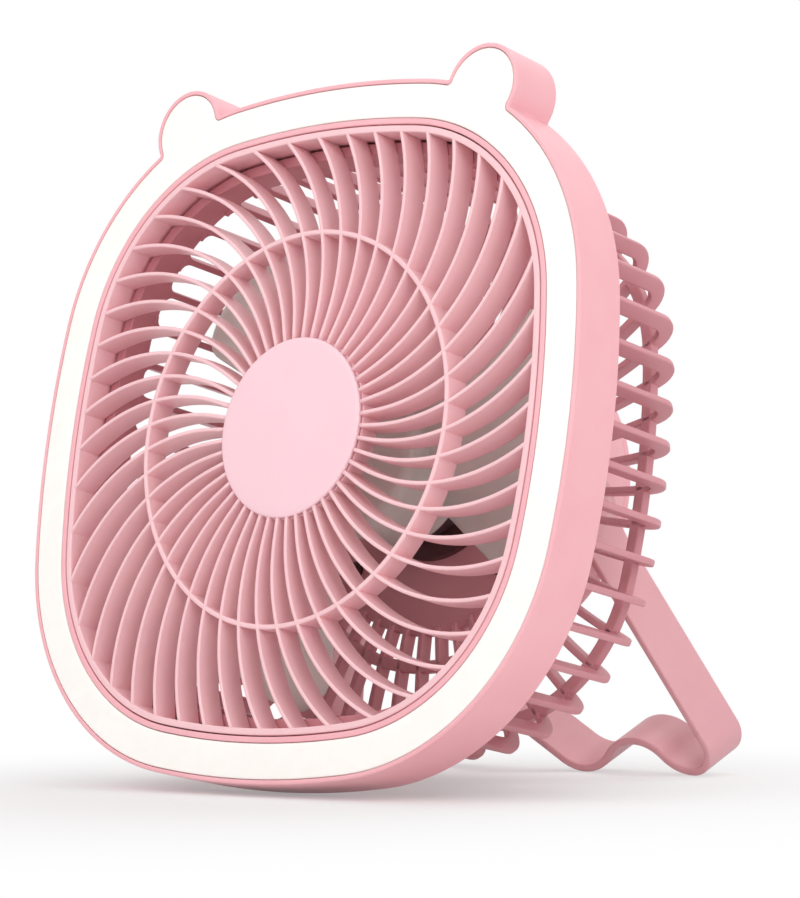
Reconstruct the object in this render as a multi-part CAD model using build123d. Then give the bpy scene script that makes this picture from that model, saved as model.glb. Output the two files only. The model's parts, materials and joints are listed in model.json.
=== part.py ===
"""USB desk fan: light ring front, swirled grille and cage, motor pod and folding stand.

Head pieces are drawn in a head frame: x to the viewer's right, y up the face and z out of
the face, so a depth behind the front face is a negative z. The head is then leaned back and
set on its rear lower edge, and the stand is opened until its feet reach the same floor.
The finished part has +Z up, its front towards -Y and its origin under its middle, on the floor.
"""

import math
import os

from build123d import *

# Stance and shared values, millimetres and degrees
HEAD_TILT = 11.7
STAND_PITCH = 69.1
OVERRUN = 1.0
FIT = 0.2
SLIP_FIT = 0.03
SEAT_GAP = 0.3

# Front frame
FRAME_HALF = 101.8
SIDE_RADIUS = 279.8
CORNER_RADIUS = 72.8
FRAME_DEPTH = 18.0
FRAME_WALL = 2.2
FRAME_WEB = 2.0
EAR_SPREAD = 57.3
EAR_SINK = 7.3
EAR_RADIUS = 12.7
OUTER_LIP = 1.3
INNER_LIP = 1.7
LENS_SHELF = 1.2
TROUGH_DEPTH = 9.0
SEAT_LEDGE = 2.1
LEDGE_THICK = 2.0

# Light ring
LENS_WIDTH = 10.4
LENS_THICK = 2.2
LIGHT_BOARD_THICK = 1.2
CHIP_SIZE = 2.8
CHIP_HEIGHT = 0.8
CHIP_COUNT = 56

# Front grille and its cap
GRILLE_GAP = 0.35
GRILLE_RIM = 2.0
GRILLE_DEPTH = 8.0
VANE_COUNT = 48
VANE_THICK = 1.4
VANE_PHASE = 6.2
VANE_STRAIGHT = 6.7
VANE_CURVE = 61.0
RING_RADIUS = 57.5
RING_WIDTH = 1.5
CAP_RADIUS = 26.3
CAP_THICK = 2.0
CAP_PROUD = 0.4
CAP_PEG_RADIUS = 1.6
CAP_PEG_LENGTH = 4.0
CAP_PEG_CIRCLE = 17.0
CAP_PEG_COUNT = 3

# Rear cage
FLANGE_THICK = 2.2
COLLAR_WALL = 2.0
COLLAR_LENGTH = 5.2
CAGE_INSET = 15.0
CAGE_DEPTH = 70.0
CAGE_ROUND = 9.0
CAGE_INNER_ROUND = 4.4
RIB_COUNT = 48
RIB_WIDTH = 4.6
RIB_THICK = 2.0
RIB_PHASE = 1.2
RIB_STRAIGHT = 4.0
RIB_CURVE = 170.0
HOOP_INSET = 8.6
HOOP_WIDTH = 3.6
HOOP_DEPTH = 3.4
INNER_HOOP_RADIUS = 58.0
PLATE_THICK = 3.5
PLATE_MARGIN = 1.9
WIRE_HOLE = 3.0
WIRE_HOLE_CIRCLE = 28.0

# Screws
SCREW_RADIUS = 1.2
SCREW_HEAD = 2.5
SCREW_HEAD_THICK = 1.6
SCREW_BITE = 5.0
BOSS_WALL = 1.7
FLANGE_SCREW_COUNT = 8
FLANGE_SCREW_START_SHARE = 0.5

# Motor pod on the back of the cage
POD_RADIUS = 46.6
POD_WALL = 2.0
POD_FLOOR = 2.0
POST_CIRCLE = 40.0
POST_COUNT = 4
COVER_THICK = 2.6
CELL_RADIUS = 9.15
CELL_LENGTH = 65.0
CELL_CAP_RADIUS = 3.0
CELL_CAP_HEIGHT = 1.0
CONTACT_THICK = 0.5
CONTACT_WIDTH = 12.0
CONTACT_HEIGHT = 13.0
BOARD_THICK = 1.6
BOARD_WIDTH = 38.0
BOARD_HEIGHT = 52.0
BOARD_TAB_WIDTH = 14.0
STANDOFF_RADIUS = 2.2
STANDOFF_EDGE = 4.0
SWITCH_SIZE = 6.0
SWITCH_HEIGHT = 3.0
BUTTON_RADIUS = 4.5
BUTTON_FLANGE = 1.2
BUTTON_FLANGE_THICK = 1.0
BUTTON_PROUD = 1.2
BUTTON_TRAVEL = 0.8
BUTTON_SPREAD = 11.0
BUTTON_RISE = 14.0
SOCKET_WIDTH = 9.0
SOCKET_HEIGHT = 3.2
SOCKET_LENGTH = 7.3
SOCKET_WALL = 0.35
SOCKET_TONGUE = 0.7

# Motor
MOTOR_FLANGE_RADIUS = 26.0
MOTOR_FLANGE_THICK = 2.5
MOTOR_SCREW_CIRCLE = 20.0
MOTOR_SCREW_COUNT = 3
SHAFT_RADIUS = 1.5
BEARING_RADIUS = 3.5
BEARING_LENGTH = 5.0
TUBE_WALL = 2.0
TUBE_LENGTH = 17.0
TUBE_FLOOR = 1.2
STATOR_RADIUS = 16.7
STATOR_LENGTH = 12.0
STATOR_YOKE = 3.0
STATOR_GAP = 3.0
TOOTH_COUNT = 9
TOOTH_WIDTH = 2.6
SHOE_THICK = 1.4
SHOE_GAP = 1.2
COIL_THICK = 1.1
AIR_GAP = 0.5
MAGNET_THICK = 1.8
CAN_WALL = 1.2
CAN_LENGTH = 18.0
CAN_GAP = 2.5

# Impeller
BLADE_COUNT = 3
BLADE_THICK = 1.8
BLADE_ROOT_CHORD = 36.4
BLADE_TIP_CHORD = 114.6
BLADE_ROOT_PITCH = 39.6
BLADE_TIP_PITCH = 11.7
BLADE_CAMBER = 3.0
BLADE_PHASE = 117.5
TIP_CLEARANCE = 4.5
HUB_WALL = 4.2
HUB_FRONT = 26.0
HUB_LENGTH = 26.0
HUB_FRONT_THICK = 2.4
HUB_BOSS_WALL = 3.5
NUT_RADIUS = 4.2
NUT_THICK = 5.0

# Stand and its pivots
PIVOT_SET = 10.2
PIVOT_DROP = 7.5
STRAP_WIDTH = 18.0
STRAP_THICK = 2.3
STRAP_BEND = 11.0
STRAP_BEND_RADIUS = 20.0
WAVE_PITCH = 39.6
WAVE_HEIGHT = 9.4
FOOT_RADIUS = 6.5
BRIDGE_HALF = 28.2
BRIDGE_SLOPE = 39.0
BRIDGE_RADIUS = 12.5
PIVOT_PROUD = 1.25
PIVOT_BOSS_RADIUS = 7.0
PIVOT_BOSS_DEPTH = 3.8
WASHER_THICK = 0.4
WASHER_WALL = 4.4
PIVOT_PLAY = 0.1
PIN_RADIUS = 2.0
PIN_HEAD = 5.0
PIN_HEAD_THICK = 2.0

# Places worked out from the sizes above
LENS_INSET = OUTER_LIP + LENS_WIDTH
OPENING_INSET = LENS_INSET + INNER_LIP
GRILLE_INSET = OPENING_INSET + GRILLE_GAP
CAP_SEAT = CAP_THICK - CAP_PROUD
FLANGE_NEAR = FRAME_DEPTH - FLANGE_THICK
CAGE_INNER_INSET = CAGE_INSET + RIB_WIDTH
CAGE_INNER_DEPTH = CAGE_DEPTH - RIB_WIDTH
PLATE_NEAR = CAGE_DEPTH - PLATE_THICK
PLATE_RADIUS = POD_RADIUS + PLATE_MARGIN
SCREW_LENGTH = SCREW_BITE + FLANGE_THICK
BOSS_RADIUS = SCREW_RADIUS + BOSS_WALL

CELL_DEPTH = CAGE_DEPTH + POD_FLOOR + SEAT_GAP + CELL_RADIUS
BOARD_NEAR = CELL_DEPTH + CELL_RADIUS + SEAT_GAP
BOARD_FAR = BOARD_NEAR + BOARD_THICK
FLANGE_REST = BOARD_FAR + SWITCH_HEIGHT + BUTTON_TRAVEL + SEAT_GAP
COVER_NEAR = FLANGE_REST + BUTTON_FLANGE_THICK + FIT
COVER_FAR = COVER_NEAR + COVER_THICK
SOCKET_MOUTH = POD_RADIUS - POD_WALL / 2

MOTOR_NEAR = PLATE_NEAR - MOTOR_FLANGE_THICK
TUBE_RADIUS = BEARING_RADIUS + TUBE_WALL
TUBE_NEAR = MOTOR_NEAR - TUBE_LENGTH
STATOR_FAR = MOTOR_NEAR - STATOR_GAP
STATOR_NEAR = STATOR_FAR - STATOR_LENGTH
MAGNET_INNER = STATOR_RADIUS + AIR_GAP
CAN_INNER = MAGNET_INNER + MAGNET_THICK + SLIP_FIT
CAN_RADIUS = CAN_INNER + CAN_WALL
CAN_FAR = MOTOR_NEAR - CAN_GAP
CAN_NEAR = CAN_FAR - CAN_LENGTH
HUB_INNER = CAN_RADIUS + FIT
HUB_RADIUS = HUB_INNER + HUB_WALL
TIP_RADIUS = FRAME_HALF - CAGE_INNER_INSET - TIP_CLEARANCE
HUB_FAR = HUB_FRONT + HUB_LENGTH
BLADE_DEPTH = (HUB_FRONT + HUB_FAR) / 2

PIVOT_DEPTH = CAGE_DEPTH + PIVOT_SET
PIVOT_FACE = POD_RADIUS + PIVOT_PROUD
STRAP_INNER_X = PIVOT_FACE + WASHER_THICK + PIVOT_PLAY
STRAP_X = STRAP_INNER_X + STRAP_THICK / 2
STRAP_OUTER_X = STRAP_INNER_X + STRAP_THICK

LEAN = math.radians(HEAD_TILT)
PITCH = math.radians(STAND_PITCH)
HEAD_LIFT = FRAME_DEPTH * math.sin(LEAN) + FRAME_HALF * math.cos(LEAN)
PIVOT_HEIGHT = HEAD_LIFT - PIVOT_DEPTH * math.sin(LEAN) - PIVOT_DROP * math.cos(LEAN)
STRAP_REACH = (PIVOT_HEIGHT - STRAP_WIDTH / 2 * math.cos(PITCH)) / math.sin(PITCH)


def slab(profile, near, far):
    """Solid of a face profile between two depths behind the front face."""
    return Pos(0, 0, -far) * extrude(profile, far - near)


def disc(radius, near, far):
    """Round slab on the fan's axis."""
    return slab(Circle(radius), near, far)


def tube(outer, inner, near, far):
    """Round ring on the fan's axis."""
    return slab(Circle(outer) - Circle(inner), near, far)


def around(circle, count, first):
    """Places evenly spaced on a circle about the fan's axis."""
    steps = [math.radians(first + 360 * i / count) for i in range(count)]
    return [Pos(circle * math.cos(step), circle * math.sin(step)) for step in steps]


def at_places(places, shape):
    """Copies of one shape at several places, as one group."""
    return Compound([solid for place in places for solid in (place * shape).solids()])


def group(pieces):
    """Separate solids kept together as one node."""
    return Compound([solid for piece in pieces for solid in piece.solids()])


def outline(inset):
    """Rounded square with bowed sides, drawn inside the frame's outer edge by an inset."""
    bow = SIDE_RADIUS - FRAME_HALF
    span = SIDE_RADIUS - CORNER_RADIUS
    centre = (math.sqrt(2 * span**2 - bow**2) - bow) / 2
    reach = SIDE_RADIUS - inset
    joint_x = reach * centre / span
    joint_y = reach * (centre + bow) / span - bow
    corner = centre + (CORNER_RADIUS - inset) / math.sqrt(2)
    middle = FRAME_HALF - inset
    side = ThreePointArc((-joint_x, joint_y), (0, middle), (joint_x, joint_y))
    bend = ThreePointArc((joint_x, joint_y), (corner, corner), (joint_y, joint_x))
    turns = [Rot(0, 0, -90 * i) for i in range(4)]
    return make_face([turn * edge for turn in turns for edge in (side, bend)])


def ears(inset):
    """The two round ears on the upper edge, drawn inside their edge by an inset."""
    height = FRAME_HALF - EAR_SINK
    return [Pos(side * EAR_SPREAD, height) * Circle(EAR_RADIUS - inset) for side in (-1, 1)]


def eared_outline(inset):
    """The frame's front outline with its ears."""
    return outline(inset) + ears(inset)


def along_outline(inset, count, offset_share):
    """Places spaced along an inset outline, each turned with it."""
    wire = outline(inset).face().outer_wire()
    return [wire.location_at((i + offset_share) / count) for i in range(count)]


FLANGE_SCREW_INSET = (FRAME_WALL + LENS_INSET) / 2
FLANGE_SCREW_PLACES = [
    Pos(place.position)
    for place in along_outline(FLANGE_SCREW_INSET, FLANGE_SCREW_COUNT, FLANGE_SCREW_START_SHARE)
]
POST_PLACES = around(POST_CIRCLE, POST_COUNT, 45)
BUTTON_PLACES = [Pos(side * BUTTON_SPREAD, BUTTON_RISE) for side in (-1, 1)]


def front_frame():
    """Outer frame with a trough for the light ring and a channel for the cage's flange."""
    opening = outline(OPENING_INSET)
    body = slab(eared_outline(0) - opening, 0, FRAME_DEPTH)
    ledge = opening - outline(OPENING_INSET + SEAT_LEDGE)
    body += slab(ledge, GRILLE_DEPTH, GRILLE_DEPTH + LEDGE_THICK)
    body -= slab(eared_outline(OUTER_LIP) - outline(LENS_INSET), -OVERRUN, LENS_THICK)
    shelf = OUTER_LIP + LENS_SHELF
    trough = eared_outline(shelf) - outline(LENS_INSET - LENS_SHELF)
    body -= slab(trough, 0, TROUGH_DEPTH)
    channel = outline(FRAME_WALL) - outline(LENS_INSET)
    body -= slab(channel, TROUGH_DEPTH + FRAME_WEB, FRAME_DEPTH + OVERRUN)
    body -= slab(outline(FRAME_WALL), FLANGE_NEAR, FRAME_DEPTH + OVERRUN)
    for pocket in ears(shelf):
        body -= slab(pocket - outline(0), LENS_THICK, FLANGE_NEAR)
    hole = disc(SCREW_RADIUS + SLIP_FIT, FLANGE_NEAR - SCREW_BITE - FIT, FLANGE_NEAR + OVERRUN)
    for place in FLANGE_SCREW_PLACES:
        body += place * disc(BOSS_RADIUS, TROUGH_DEPTH + FRAME_WEB, FLANGE_NEAR)
        body -= place * hole
    return body


def light_diffuser():
    """Milky lens that covers the light ring and both ears."""
    return slab(eared_outline(OUTER_LIP + FIT) - outline(LENS_INSET - FIT), 0, LENS_THICK)


def light_board_inset():
    """Insets of the light board's outer and inner edges."""
    return OUTER_LIP + LENS_SHELF + FIT, LENS_INSET - LENS_SHELF - FIT


def light_board():
    """Ring-shaped board on the floor of the trough."""
    outer, inner = light_board_inset()
    return slab(outline(outer) - outline(inner), TROUGH_DEPTH - LIGHT_BOARD_THICK, TROUGH_DEPTH)


def light_chips():
    """Light chips spaced round the board."""
    far = TROUGH_DEPTH - LIGHT_BOARD_THICK
    chip = slab(Rectangle(CHIP_SIZE, CHIP_SIZE), far - CHIP_HEIGHT, far)
    turned = []
    for place in along_outline(sum(light_board_inset()) / 2, CHIP_COUNT, 0):
        bearing = math.degrees(math.atan2(place.position.Y, place.position.X))
        turned.append(Pos(place.position) * Rot(0, 0, bearing))
    return at_places(turned, chip)


def swirl(start, straight, curve, end, width, count, phase):
    """Bars that leave a centre circle radially and then bend anticlockwise towards an end radius."""
    turn = math.degrees(math.asin(min((end - start - straight) / curve, 1)))
    bend_start = start + straight
    path = Line((start, 0), (bend_start, 0)) + CenterArc((bend_start, curve), curve, -90, turn)
    bar = trace(path, width)
    return [Rot(0, 0, phase + 360 * i / count) * bar for i in range(count)]


def front_grille():
    """Flat grille: swirled vanes between a hub, a middle ring and a rim."""
    field = outline(GRILLE_INSET)
    rim = field - outline(GRILLE_INSET + GRILLE_RIM)
    reach = outline(0).bounding_box().diagonal / 2
    start = CAP_RADIUS - VANE_THICK
    vanes = swirl(start, VANE_STRAIGHT, VANE_CURVE, reach, VANE_THICK, VANE_COUNT, VANE_PHASE)
    ring = Circle(RING_RADIUS + RING_WIDTH / 2) - Circle(RING_RADIUS - RING_WIDTH / 2)
    trimmed = (Sketch() + vanes) & field
    body = slab(trimmed + rim + ring + Circle(CAP_RADIUS), 0, GRILLE_DEPTH)
    body -= disc(CAP_RADIUS + FIT, -OVERRUN, CAP_SEAT)
    for place in around(CAP_PEG_CIRCLE, CAP_PEG_COUNT, 90):
        body -= place * disc(CAP_PEG_RADIUS + SLIP_FIT, 0, GRILLE_DEPTH + OVERRUN)
    return body


def hub_cap():
    """Plain disc in the middle of the grille, held by pegs."""
    cap = disc(CAP_RADIUS, -CAP_PROUD, CAP_SEAT)
    for place in around(CAP_PEG_CIRCLE, CAP_PEG_COUNT, 90):
        cap += place * disc(CAP_PEG_RADIUS, CAP_SEAT, CAP_SEAT + CAP_PEG_LENGTH)
    return cap


def rounded_well(inset, near, far, radius):
    """Outline slab whose rear edge is rounded."""
    body = slab(outline(inset), near, far)
    rear = body.faces().sort_by(Axis.Z)[0]
    return fillet(rear.edges(), radius)


def cage_ribs():
    """Swirled ribs that run down the sides of the cage and across its back."""
    shell = rounded_well(CAGE_INSET, FLANGE_NEAR, CAGE_DEPTH, CAGE_ROUND)
    shell -= rounded_well(CAGE_INNER_INSET, FLANGE_NEAR - OVERRUN, CAGE_INNER_DEPTH, CAGE_INNER_ROUND)
    reach = outline(CAGE_INSET).bounding_box().diagonal / 2
    start = PLATE_RADIUS - RIB_THICK
    bars = swirl(start, RIB_STRAIGHT, RIB_CURVE, reach, RIB_THICK, RIB_COUNT, RIB_PHASE)
    return slab(Sketch() + bars, FLANGE_NEAR, CAGE_DEPTH) & shell


def rear_basket(ribs):
    """Side of the cage: the ribs' side runs behind a front flange with a collar."""
    body = slab(outline(FRAME_WALL + FIT) - outline(CAGE_INNER_INSET), FLANGE_NEAR, FRAME_DEPTH)
    collar = outline(CAGE_INNER_INSET - COLLAR_WALL) - outline(CAGE_INNER_INSET)
    body += slab(collar, FLANGE_NEAR - COLLAR_LENGTH, FLANGE_NEAR)
    body += ribs & slab(outline(0), FLANGE_NEAR, CAGE_INNER_DEPTH)
    for place in FLANGE_SCREW_PLACES:
        body -= place * disc(SCREW_RADIUS + FIT, FLANGE_NEAR - OVERRUN, FRAME_DEPTH + OVERRUN)
    return body


def rear_guard(ribs):
    """Back of the cage: the ribs' rear runs with two hoops and a middle plate."""
    hoop_far = CAGE_INNER_DEPTH + HOOP_DEPTH
    hoop = outline(CAGE_INSET + HOOP_INSET) - outline(CAGE_INSET + HOOP_INSET + HOOP_WIDTH)
    body = slab(hoop, CAGE_INNER_DEPTH, hoop_far)
    body += ribs & slab(outline(0), CAGE_INNER_DEPTH, CAGE_DEPTH)
    hoop_outer = INNER_HOOP_RADIUS + HOOP_WIDTH / 2
    body += tube(hoop_outer, hoop_outer - HOOP_WIDTH, CAGE_INNER_DEPTH, hoop_far)
    body += disc(PLATE_RADIUS, PLATE_NEAR, CAGE_DEPTH)
    body -= Pos(0, -WIRE_HOLE_CIRCLE) * disc(WIRE_HOLE, PLATE_NEAR - OVERRUN, CAGE_DEPTH + OVERRUN)
    for place in POST_PLACES:
        body -= place * disc(SCREW_RADIUS + FIT, PLATE_NEAR - OVERRUN, CAGE_DEPTH + OVERRUN)
    for place in around(MOTOR_SCREW_CIRCLE, MOTOR_SCREW_COUNT, 90):
        body -= place * disc(SCREW_RADIUS + SLIP_FIT, PLATE_NEAR - OVERRUN, CAGE_DEPTH + OVERRUN)
    return body


def screw(head_near, head_far, tip):
    """Pan-head screw on the axis: a head between two depths and a shank that ends at the tip."""
    shank = disc(SCREW_RADIUS, min(tip, head_near), max(tip, head_far))
    return disc(SCREW_HEAD, head_near, head_far) + shank


def basket_screws():
    """Screws through the cage's flange into the frame."""
    one = screw(FRAME_DEPTH, FRAME_DEPTH + SCREW_HEAD_THICK, FRAME_DEPTH - SCREW_LENGTH)
    return at_places(FLANGE_SCREW_PLACES, one)


def rear_housing():
    """Pod behind the cage: a cup with posts, pivot bosses and a socket slot."""
    floor_far = CAGE_DEPTH + POD_FLOOR
    inner = POD_RADIUS - POD_WALL
    body = disc(POD_RADIUS, CAGE_DEPTH, COVER_NEAR) - disc(inner, floor_far, COVER_NEAR + OVERRUN)
    hole = SCREW_RADIUS + SLIP_FIT
    for place in POST_PLACES:
        body += place * disc(BOSS_RADIUS, floor_far, COVER_NEAR)
        body -= place * disc(hole, CAGE_DEPTH - OVERRUN, CAGE_DEPTH + SCREW_BITE + FIT)
        body -= place * disc(hole, COVER_NEAR - SCREW_BITE - FIT, COVER_NEAR + OVERRUN)
    for place in standoff_places():
        body += place * disc(STANDOFF_RADIUS, floor_far, BOARD_NEAR)
    for side in (-1, 1):
        face = Pos(side * PIVOT_FACE, -PIVOT_DROP, -PIVOT_DEPTH) * Rot(0, -side * 90, 0)
        depth = PIVOT_PROUD + POD_WALL + PIVOT_BOSS_DEPTH / 2
        body += face * extrude(Circle(PIVOT_BOSS_RADIUS), depth)
        bore = extrude(Circle(PIN_RADIUS + SLIP_FIT), depth + 2 * OVERRUN)
        body -= face * Pos(0, 0, -OVERRUN) * bore
    slot = Rectangle(SOCKET_WIDTH + 2 * FIT, 4 * POD_WALL)
    body -= Pos(0, -POD_RADIUS) * slab(slot, BOARD_FAR - FIT, BOARD_FAR + SOCKET_HEIGHT + FIT)
    return body


def standoff_places():
    """Posts under the corners of the control board."""
    across = BOARD_WIDTH / 2 - STANDOFF_EDGE
    up = BOARD_HEIGHT / 2 - STANDOFF_EDGE
    return [Pos(side * across, end * up) for side in (-1, 1) for end in (-1, 1)]


def housing_screws():
    """Screws from inside the cage into the pod's posts."""
    one = screw(PLATE_NEAR - SCREW_HEAD_THICK, PLATE_NEAR, CAGE_DEPTH + SCREW_BITE)
    return at_places(POST_PLACES, one)


def housing_cover():
    """Lid of the pod, with button holes and sunk screw heads."""
    body = disc(POD_RADIUS, COVER_NEAR, COVER_FAR)
    for place in POST_PLACES:
        body -= place * disc(SCREW_HEAD + FIT, COVER_FAR - SCREW_HEAD_THICK, COVER_FAR + OVERRUN)
        body -= place * disc(SCREW_RADIUS + FIT, COVER_NEAR - OVERRUN, COVER_FAR)
    for place in BUTTON_PLACES:
        body -= place * disc(BUTTON_RADIUS + SEAT_GAP, COVER_NEAR - OVERRUN, COVER_FAR + OVERRUN)
    return body


def cover_screws():
    """Screws that hold the lid."""
    one = screw(COVER_FAR - SCREW_HEAD_THICK, COVER_FAR, COVER_NEAR - SCREW_BITE)
    return at_places(POST_PLACES, one)


def battery_cell():
    """Round cell lying across the pod, with its raised end."""
    lie = Pos(0, 0, -CELL_DEPTH) * Rot(0, 90, 0)
    barrel_length = CELL_LENGTH - CELL_CAP_HEIGHT
    barrel = Pos(0, 0, -CELL_LENGTH / 2) * extrude(Circle(CELL_RADIUS), barrel_length)
    tip = Pos(0, 0, CELL_LENGTH / 2 - CELL_CAP_HEIGHT) * extrude(Circle(CELL_CAP_RADIUS), CELL_CAP_HEIGHT)
    return lie * (barrel + tip)


def battery_contacts():
    """Sheet contacts at both ends of the cell."""
    near = CAGE_DEPTH + POD_FLOOR
    middle = CELL_LENGTH / 2 + SEAT_GAP + CONTACT_THICK / 2
    plate = slab(Rectangle(CONTACT_THICK, CONTACT_WIDTH), near, near + CONTACT_HEIGHT)
    return at_places([Pos(side * middle, 0) for side in (-1, 1)], plate)


def control_board():
    """Control board with a tab that carries the socket."""
    tab_end = SOCKET_MOUTH - POD_WALL
    tab_length = tab_end - BOARD_HEIGHT / 2
    tab = Pos(0, -BOARD_HEIGHT / 2 - tab_length / 2) * Rectangle(BOARD_TAB_WIDTH, tab_length)
    return slab(Rectangle(BOARD_WIDTH, BOARD_HEIGHT) + tab, BOARD_NEAR, BOARD_FAR)


def tact_switches():
    """Push switches behind the two buttons."""
    one = slab(Rectangle(SWITCH_SIZE, SWITCH_SIZE), BOARD_FAR, BOARD_FAR + SWITCH_HEIGHT)
    return at_places(BUTTON_PLACES, one)


def usb_socket():
    """Charging socket on the board's tab, with its mouth in the pod's wall."""
    lie = Pos(0, -SOCKET_MOUTH, -BOARD_FAR - SOCKET_HEIGHT / 2) * Rot(-90, 0, 0)
    bore_width = SOCKET_WIDTH - 2 * SOCKET_WALL
    bore_height = SOCKET_HEIGHT - 2 * SOCKET_WALL
    shell = RectangleRounded(SOCKET_WIDTH, SOCKET_HEIGHT, SOCKET_HEIGHT / 2 - SOCKET_WALL)
    bore = RectangleRounded(bore_width, bore_height, bore_height / 2 - SOCKET_WALL)
    tongue = Rectangle(bore_width - SOCKET_HEIGHT, SOCKET_TONGUE)
    body = extrude(shell, SOCKET_LENGTH) - extrude(bore, SOCKET_LENGTH - SOCKET_WALL)
    body += extrude(tongue, SOCKET_LENGTH)
    return lie * body


def button(place):
    """Round button whose inner flange keeps it under the lid."""
    body = disc(BUTTON_RADIUS, FLANGE_REST, COVER_FAR + BUTTON_PROUD)
    body += disc(BUTTON_RADIUS + BUTTON_FLANGE, FLANGE_REST, FLANGE_REST + BUTTON_FLANGE_THICK)
    return place * body


def motor_base():
    """Motor flange with the tube that holds the bearings."""
    body = disc(MOTOR_FLANGE_RADIUS, MOTOR_NEAR, PLATE_NEAR) + disc(TUBE_RADIUS, TUBE_NEAR, MOTOR_NEAR)
    body -= disc(BEARING_RADIUS + SLIP_FIT, TUBE_NEAR - OVERRUN, PLATE_NEAR - TUBE_FLOOR)
    for place in around(MOTOR_SCREW_CIRCLE, MOTOR_SCREW_COUNT, 90):
        body -= place * disc(SCREW_RADIUS + FIT, MOTOR_NEAR - OVERRUN, PLATE_NEAR + OVERRUN)
    return body


def motor_screws():
    """Screws that hold the motor's flange to the cage's plate."""
    one = screw(MOTOR_NEAR - SCREW_HEAD_THICK, MOTOR_NEAR, PLATE_NEAR + PLATE_THICK)
    return at_places(around(MOTOR_SCREW_CIRCLE, MOTOR_SCREW_COUNT, 90), one)


def shaft_bearings():
    """Two sleeve bearings, one at each end of the tube."""
    rear_far = PLATE_NEAR - TUBE_FLOOR
    rear = tube(BEARING_RADIUS, SHAFT_RADIUS + SLIP_FIT, rear_far - BEARING_LENGTH, rear_far)
    front = tube(BEARING_RADIUS, SHAFT_RADIUS + SLIP_FIT, TUBE_NEAR, TUBE_NEAR + BEARING_LENGTH)
    return group([rear, front])


def stator_core():
    """Stator stack: a yoke on the tube, with a tooth and a shoe for each coil."""
    inner = TUBE_RADIUS + SLIP_FIT
    shoe_inner = STATOR_RADIUS - SHOE_THICK
    profile = Circle(inner + STATOR_YOKE) - Circle(inner)
    shoes = Circle(STATOR_RADIUS) - Circle(shoe_inner)
    tooth_start = inner + STATOR_YOKE / 2
    tooth_end = shoe_inner + SHOE_THICK / 2
    tooth = Pos((tooth_start + tooth_end) / 2, 0) * Rectangle(tooth_end - tooth_start, TOOTH_WIDTH)
    slit = Pos(STATOR_RADIUS, 0) * Rectangle(4 * SHOE_THICK, SHOE_GAP)
    for i in range(TOOTH_COUNT):
        profile += Rot(0, 0, 360 * i / TOOTH_COUNT) * tooth
        shoes -= Rot(0, 0, 360 * (i + 0.5) / TOOTH_COUNT) * slit
    return slab(profile + shoes, STATOR_NEAR, STATOR_FAR)


def stator_coils():
    """One wound coil round each tooth, as a plain ring."""
    start = TUBE_RADIUS + SLIP_FIT + STATOR_YOKE + FIT
    width = TOOTH_WIDTH + 2 * COIL_THICK
    end = math.sqrt((STATOR_RADIUS - SHOE_THICK - FIT) ** 2 - (width / 2) ** 2)
    length = end - start
    outer = slab(Rectangle(length, width), STATOR_NEAR - COIL_THICK, STATOR_FAR + COIL_THICK)
    window = Rectangle(length + 2 * OVERRUN, TOOTH_WIDTH + FIT)
    hole = slab(window, STATOR_NEAR - FIT / 2, STATOR_FAR + FIT / 2)
    coil = Pos((start + end) / 2, 0) * (outer - hole)
    return group([Rot(0, 0, 360 * i / TOOTH_COUNT) * coil for i in range(TOOTH_COUNT)])


def rotor_can():
    """Steel cup that turns about the stator."""
    body = disc(CAN_RADIUS, CAN_NEAR, CAN_FAR) - disc(CAN_INNER, CAN_NEAR + CAN_WALL, CAN_FAR + OVERRUN)
    return body - disc(SHAFT_RADIUS + SLIP_FIT, CAN_NEAR - OVERRUN, CAN_NEAR + CAN_WALL + OVERRUN)


def rotor_magnet():
    """Ring magnet inside the cup."""
    return tube(MAGNET_INNER + MAGNET_THICK, MAGNET_INNER, STATOR_NEAR, STATOR_FAR)


def motor_shaft():
    """Shaft from the bearings to the impeller's nut."""
    return disc(SHAFT_RADIUS, HUB_FRONT - NUT_THICK, PLATE_NEAR - TUBE_FLOOR - SEAT_GAP)


def blade_section(radius, chord, pitch):
    """Curved blade section in a plane square to a radius."""
    half = chord / 2
    crest = BLADE_CAMBER + BLADE_THICK
    edge = BLADE_THICK / 4
    top = ThreePointArc((-half, edge), (0, crest), (half, edge))
    bottom = ThreePointArc((half, -edge), (0, crest - BLADE_THICK), (-half, -edge))
    ends = [Line((half, edge), (half, -edge)), Line((-half, -edge), (-half, edge))]
    face = make_face([top, ends[0], bottom, ends[1]])
    plane = Plane(origin=(radius, 0, -BLADE_DEPTH), x_dir=(0, 1, 0), z_dir=(1, 0, 0))
    return plane * Rot(0, 0, pitch) * face


def impeller():
    """Impeller: a hub cup over the motor, with twisted blades."""
    hollow_near = HUB_FRONT + HUB_FRONT_THICK
    hub = disc(HUB_RADIUS, HUB_FRONT, HUB_FAR) - disc(HUB_INNER, hollow_near, HUB_FAR + OVERRUN)
    hub += disc(SHAFT_RADIUS + HUB_BOSS_WALL, hollow_near, CAN_NEAR)
    root = blade_section(HUB_RADIUS - HUB_WALL / 2, BLADE_ROOT_CHORD, BLADE_ROOT_PITCH)
    tip = blade_section(TIP_RADIUS, BLADE_TIP_CHORD, BLADE_TIP_PITCH)
    limit = tube(TIP_RADIUS, HUB_INNER + HUB_WALL / 4, GRILLE_DEPTH, CAGE_DEPTH)
    blade = loft([root, tip]) & limit
    for i in range(BLADE_COUNT):
        hub += Rot(0, 0, BLADE_PHASE + 360 * i / BLADE_COUNT) * blade
    return hub - disc(SHAFT_RADIUS + SLIP_FIT, HUB_FRONT - OVERRUN, CAN_NEAR + OVERRUN)


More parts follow.
